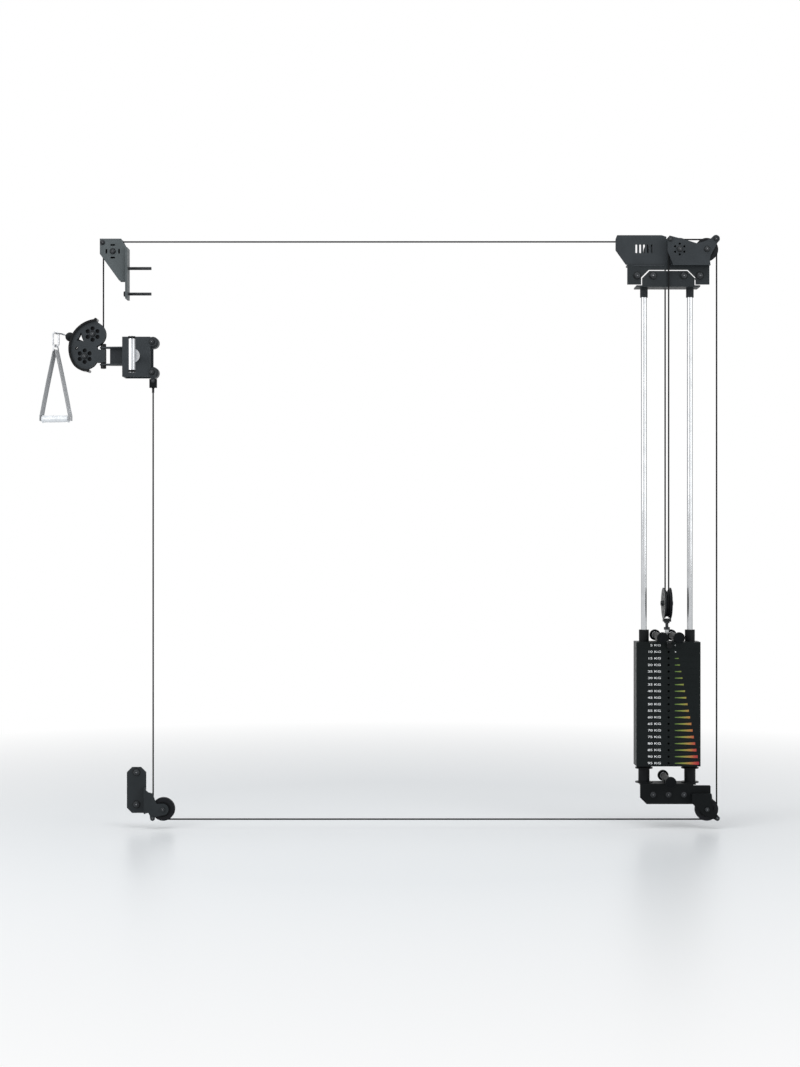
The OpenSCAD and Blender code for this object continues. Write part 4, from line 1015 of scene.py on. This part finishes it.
# along and out, in mm
RIVET = ((0, 0.9), (0.4, 1.5), (8.8, 1.5), (9.2, 0.9))
GATE_NOSE = ((0, 3.1), (0.5, 3.6), (3, 3.6), (3.6, 3.1))


def make_snap_details():
    """The hinge pin and the nose of the snap hook's gate."""
    low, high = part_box("snap_gate")
    middle = (low + high) / 2
    def build(shape):
        rivet = Vector((middle.x, middle.y - 4.6 * MM, low.z + 2.5 * MM))
        add_turned(shape, rivet, Y, in_mm(RIVET), 20)
        nose = Vector((middle.x, middle.y, high.z - 4 * MM))
        add_turned(shape, nose, Z, in_mm(GATE_NOSE), 24)
    add_piece("gate_rivet", mesh_of("gate_rivet", build), "gate", "zinc_wire")


# along from the ball's surface and out, in mm
BALL_NECK = ((-1.2, 2.2), (-1.2, 6), (-0.1, 5.2), (0.2, 4.2), (0.2, 2.2))


def make_ball_details():
    """The moulding line on the ball stop, and the collar where the cable's eye leaves it."""
    low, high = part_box("ball_stop")
    centre = (low + high) / 2
    radius = (high.y - low.y) / 2
    cable = Vector(joints["cable_pull"]["axis"]).normalized()
    def build(shape):
        seam = [(-0.5 * MM, radius - 0.3 * MM), (0, radius + 0.3 * MM), (0.5 * MM, radius - 0.3 * MM)]
        add_ring(shape, centre, Vector((cable.z, 0, -cable.x)), seam, 64)
        add_ring(shape, centre, cable, in_mm(BALL_NECK, radius), 32)
    add_piece("ball_collars", mesh_of("ball_collars", build), "cable_tail", "black_rubber")


# Cable


RUN_STEPS = 60
RUN_SIDES = 16
TURN_STEPS = 24
BALL_INSIDE = 30 * MM
RUN_OUT_R = 2.4 * MM


def straight_points(start, end):
    """Evenly spaced points on the line from start to end."""
    return [start.lerp(end, i / RUN_STEPS) for i in range(RUN_STEPS + 1)]


def make_run(name, points, radius):
    """A round run of the cable, with its place baked in."""
    mesh = mesh_of(name, lambda shape: add_tube(shape, points, radius, RUN_SIDES))
    return add_stretched(name, mesh, "black_cable")


def make_column_runs():
    """The upper drop and the lower rise, each as a round run in place of its plain solid."""
    for node, bodies in (("cable_upper_drop", ("carriage", "frame")),
                         ("cable_lower_rise", ("frame", "carriage"))):
        low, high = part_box(node)
        radius = (high.x - low.x) / 2
        middle = (low + high) / 2
        ends = Vector((middle.x, middle.y, low.z)), Vector((middle.x, middle.y, high.z))
        run = make_run(node + "_run", straight_points(*ends), radius)
        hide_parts(node)


def make_falls():
    """The two falls and the turn round the travelling pulley between them.

    The front fall ends beside the head's centre pulley and the back one beside its left pulley.
    """
    low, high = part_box("cable_falls")
    radius = -low.x
    front, back = low.y + radius, high.y - radius
    turn_r = (back - front) / 2
    block_z = low.z + radius + turn_r
    front_top = joints["head_centre_spin"]["pos_m"][2]
    turn = [
        Vector((0, (front + back) / 2 + turn_r * math.cos(a), block_z - turn_r * math.sin(a)))
        for a in [math.pi * i / TURN_STEPS for i in range(1, TURN_STEPS)]
    ]
    down = straight_points(Vector((0, back, high.z)), Vector((0, back, block_z)))
    rise = straight_points(Vector((0, front, block_z)), Vector((0, front, front_top)))
    run = make_run("cable_falls_run", down + turn + rise, radius)
    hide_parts("cable_falls")


def make_run_out():
    """The cable between the swivel head and the ball stop, short and hidden."""
    low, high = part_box("ball_stop")
    ball = (low + high) / 2
    out = Vector(joints["cable_pull"]["axis"]).normalized()
    ends = ball - out * BALL_INSIDE, ball
    make_run("cable_run_out", straight_points(*ends), RUN_OUT_R)


SPRING_TURNS = 9
SPRING_TURN_STEPS = 24
SPRING_WIRE_R = 0.7 * MM


def make_lock_spring():
    """The lock pin's coil spring, in place of its plain solid."""
    low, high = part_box("lock_spring")
    coil_r = (high.x - low.x) / 2 - SPRING_WIRE_R
    middle = (low + high) / 2
    steps = SPRING_TURNS * SPRING_TURN_STEPS
    path = []
    for i in range(steps + 1):
        a = 2 * math.pi * SPRING_TURNS * i / steps
        y = low.y + SPRING_WIRE_R + (high.y - low.y - 2 * SPRING_WIRE_R) * i / steps
        path.append(Vector((middle.x + coil_r * math.cos(a), y, middle.z + coil_r * math.sin(a))))
    mesh = mesh_of("lock_spring_coil", lambda shape: add_tube(shape, path, SPRING_WIRE_R, 8))
    spring = add_stretched("lock_spring_coil", mesh, "steel_pin")
    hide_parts("lock_spring")


SLEEVE_R = 5.4 * MM
SLEEVE_BORE_R = 2.7 * MM
SLEEVE_HEAD = 3 * MM
SLEEVE_PRESSES = 4
PRESS_STEP = 4 * MM
# one press mark, along from its top and out, in mm
SLEEVE_PRESS = ((-0.4, 4.5), (-3.2, 4.5), (-3.6, 4.9))
SLEEVE_LEN = 19.6 * MM


def make_anchor_sleeve():
    """The swaged sleeve that ends the lower rise under its anchor block."""
    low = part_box("anchor_block")[0]
    rise_low, rise_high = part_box("cable_lower_rise")
    axis = Vector(((rise_low.x + rise_high.x) / 2, (rise_low.y + rise_high.y) / 2, low.z))
    def build(shape):
        profile = [(0.5 * MM, SLEEVE_BORE_R), (0.5 * MM, SLEEVE_R), (-SLEEVE_HEAD, SLEEVE_R)]
        for i in range(SLEEVE_PRESSES):
            top = -SLEEVE_HEAD - i * PRESS_STEP
            profile += in_mm(SLEEVE_PRESS, top)
        profile += [(-SLEEVE_LEN, 3.4 * MM), (-SLEEVE_LEN, SLEEVE_BORE_R)]
        add_ring(shape, axis, Z, profile, 32)
    add_piece("anchor_sleeve", mesh_of("anchor_sleeve", build), "carriage", "black_nylon")


# Band pegs


KNOB_R = 21.5 * MM
KNOB_LEN = 16 * MM
PEG_R = 12.5 * MM
NECK_HIGHLIGHT_GAP = 1 * MM
NECK_HIGHLIGHT_LEN = 4 * MM
# along and out from the knob's end, in mm
KNOB_FACE = ((-0.6, 18.6), (0.1, 17.8), (0.5, 12), (0.7, 0))


def make_knob_details():
    """The plain crowned faces of the band pegs' knobs, and bright steel rings behind them, a painted
    highlight on the pegs' necks.
    """
    start, end = KNOB_LEN + NECK_HIGHLIGHT_GAP, KNOB_LEN + NECK_HIGHLIGHT_GAP + NECK_HIGHLIGHT_LEN
    inner, small, large = PEG_R - 0.2 * MM, PEG_R + 0.2 * MM, PEG_R + 0.6 * MM
    # painted highlight: a bright steel ring round each peg's neck, behind its knob
    collar = [(start, inner), (start, small), (start + 0.4 * MM, large), (start + 3.6 * MM, large),
              (end, small), (end, inner)]
    for node, body in (("base_peg", "frame"), ("head_pegs", "lift")):
        low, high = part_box(node)
        z = high.z - KNOB_R
        centres = [0.0] if node == "base_peg" else [low.x + KNOB_R, high.x - KNOB_R]
        # each knob's end and the direction out of it
        ends = [(Vector((x, y, z)), out) for x in centres for y, out in ((low.y, -Y), (high.y, Y))]
        def build_faces(shape, ends=ends):
            for end, out in ends:
                add_turned(shape, end, out, in_mm(KNOB_FACE), 48)
        def build_neck_highlights(shape, ends=ends):
            for end, out in ends:
                add_ring(shape, end, -out, collar, 40)
        add_piece(node + "_faces", mesh_of(node + "_faces", build_faces), body, "black_peg")
        add_piece(node + "_collars", mesh_of(node + "_collars", build_neck_highlights), body, "steel_pin")


# Stage


FLOOR_Z = -0.131
FLOOR_MIDDLE = Vector((-1.05, 0.1, FLOOR_Z))
FLOOR_HALF = 14
FADE_START = 1.3
FADE_END = 4.2


def make_floor():
    """A pale floor that fades into the white background away from the object."""
    mesh = bpy.data.meshes.new("floor")
    corners = [(FLOOR_MIDDLE.x + sx * FLOOR_HALF, FLOOR_MIDDLE.y + sy * FLOOR_HALF, FLOOR_Z)
               for sx, sy in ((-1, -1), (1, -1), (1, 1), (-1, 1))]
    mesh.from_pydata(corners, [], [(0, 1, 2, 3)])
    s = Shader("floor", (0.72, 0.735, 0.745), 0.35, 0, 0.4)
    offset = s.add("ShaderNodeVectorMath", Vector=s.place)
    offset.operation = "SUBTRACT"
    offset.inputs[1].default_value = FLOOR_MIDDLE
    reach = s.add("ShaderNodeVectorMath", Vector=offset.outputs[0])
    reach.operation = "LENGTH"
    fade = s.range(reach.outputs["Value"], FADE_START, FADE_END)
    white = s.add("ShaderNodeEmission", Strength=1.0)
    white.inputs["Color"].default_value = (1, 1, 1, 1)
    seen = s.add("ShaderNodeLightPath").outputs
    direct = s.math("MAXIMUM", seen["Is Camera Ray"],
                    s.math("MAXIMUM", seen["Is Glossy Ray"], seen["Is Transmission Ray"]))
    blend = s.add("ShaderNodeMixShader")
    s.set(blend.inputs[0], s.math("MULTIPLY", fade, direct))
    s.set(blend.inputs[1], s.surface.outputs[0])
    s.set(blend.inputs[2], white.outputs[0])
    s.set(s.tree.nodes["Material Output"].inputs["Surface"], blend.outputs[0])
    mesh.materials.append(s.material)
    floor = bpy.data.objects.new("floor", mesh)
    link(floor)


WORLD_COLOR = (0.92, 0.96, 1, 1)
WORLD_STRENGTH = 0.52


def make_world():
    """Soft grey light all round; white where the camera or a gloss sees it."""
    world = bpy.data.worlds.new("studio")
    world.use_nodes = True
    bpy.context.scene.world = world
    tree = world.node_tree
    background = tree.nodes["Background"]
    background.inputs["Color"].default_value = WORLD_COLOR
    background.inputs["Strength"].default_value = WORLD_STRENGTH
    white = tree.nodes.new("ShaderNodeBackground")
    white.inputs["Color"].default_value = (1, 1, 1, 1)
    white.inputs["Strength"].default_value = 1.0
    path = tree.nodes.new("ShaderNodeLightPath")
    seen = tree.nodes.new("ShaderNodeMath")
    seen.operation = "MAXIMUM"
    tree.links.new(path.outputs["Is Camera Ray"], seen.inputs[0])
    also = tree.nodes.new("ShaderNodeMath")
    also.operation = "MAXIMUM"
    tree.links.new(path.outputs["Is Glossy Ray"], also.inputs[0])
    tree.links.new(path.outputs["Is Transmission Ray"], also.inputs[1])
    tree.links.new(also.outputs[0], seen.inputs[1])
    mix = tree.nodes.new("ShaderNodeMixShader")
    tree.links.new(seen.outputs[0], mix.inputs[0])
    tree.links.new(background.outputs[0], mix.inputs[1])
    tree.links.new(white.outputs[0], mix.inputs[2])
    tree.links.new(mix.outputs[0], tree.nodes["World Output"].inputs["Surface"])


LAMP_TARGET = Vector((-1.05, 0.05, 1.0))
# name, place, width and height in metres, and power in watts
LAMPS = (
    ("top", Vector((-1.2, -1.2, 5.2)), (5, 3.5), 125),
    ("left", Vector((-5.2, -3.4, 2.8)), (2.6, 3.4), 90),
    ("right", Vector((3.6, -3.8, 2.4)), (2.4, 3.2), 66),
)


def make_lamps():
    """Three soft lamps that face the middle of the object."""
    for name, place, (width, height), power in LAMPS:
        data = bpy.data.lights.new(name, "AREA")
        data.shape = "RECTANGLE"
        data.size = width
        data.size_y = height
        data.energy = power
        lamp = bpy.data.objects.new(name, data)
        lamp.location = place
        lamp.rotation_euler = (LAMP_TARGET - place).to_track_quat("-Z", "Y").to_euler()
        link(lamp)


make_camera()
dress_nodes()
make_welds()
make_bearings()
make_bolt_faces()
make_pivot_cover()
make_grip_bar()
make_labels()
make_strap()
make_strap_seams()
make_rod_ends()
make_grip()
make_snap_details()
make_ball_details()
make_column_runs()
make_falls()
make_run_out()
make_lock_spring()
make_anchor_sleeve()
make_knob_details()
make_floor()
make_world()
make_lamps()
bpy.context.scene.view_settings.view_transform = "Standard"
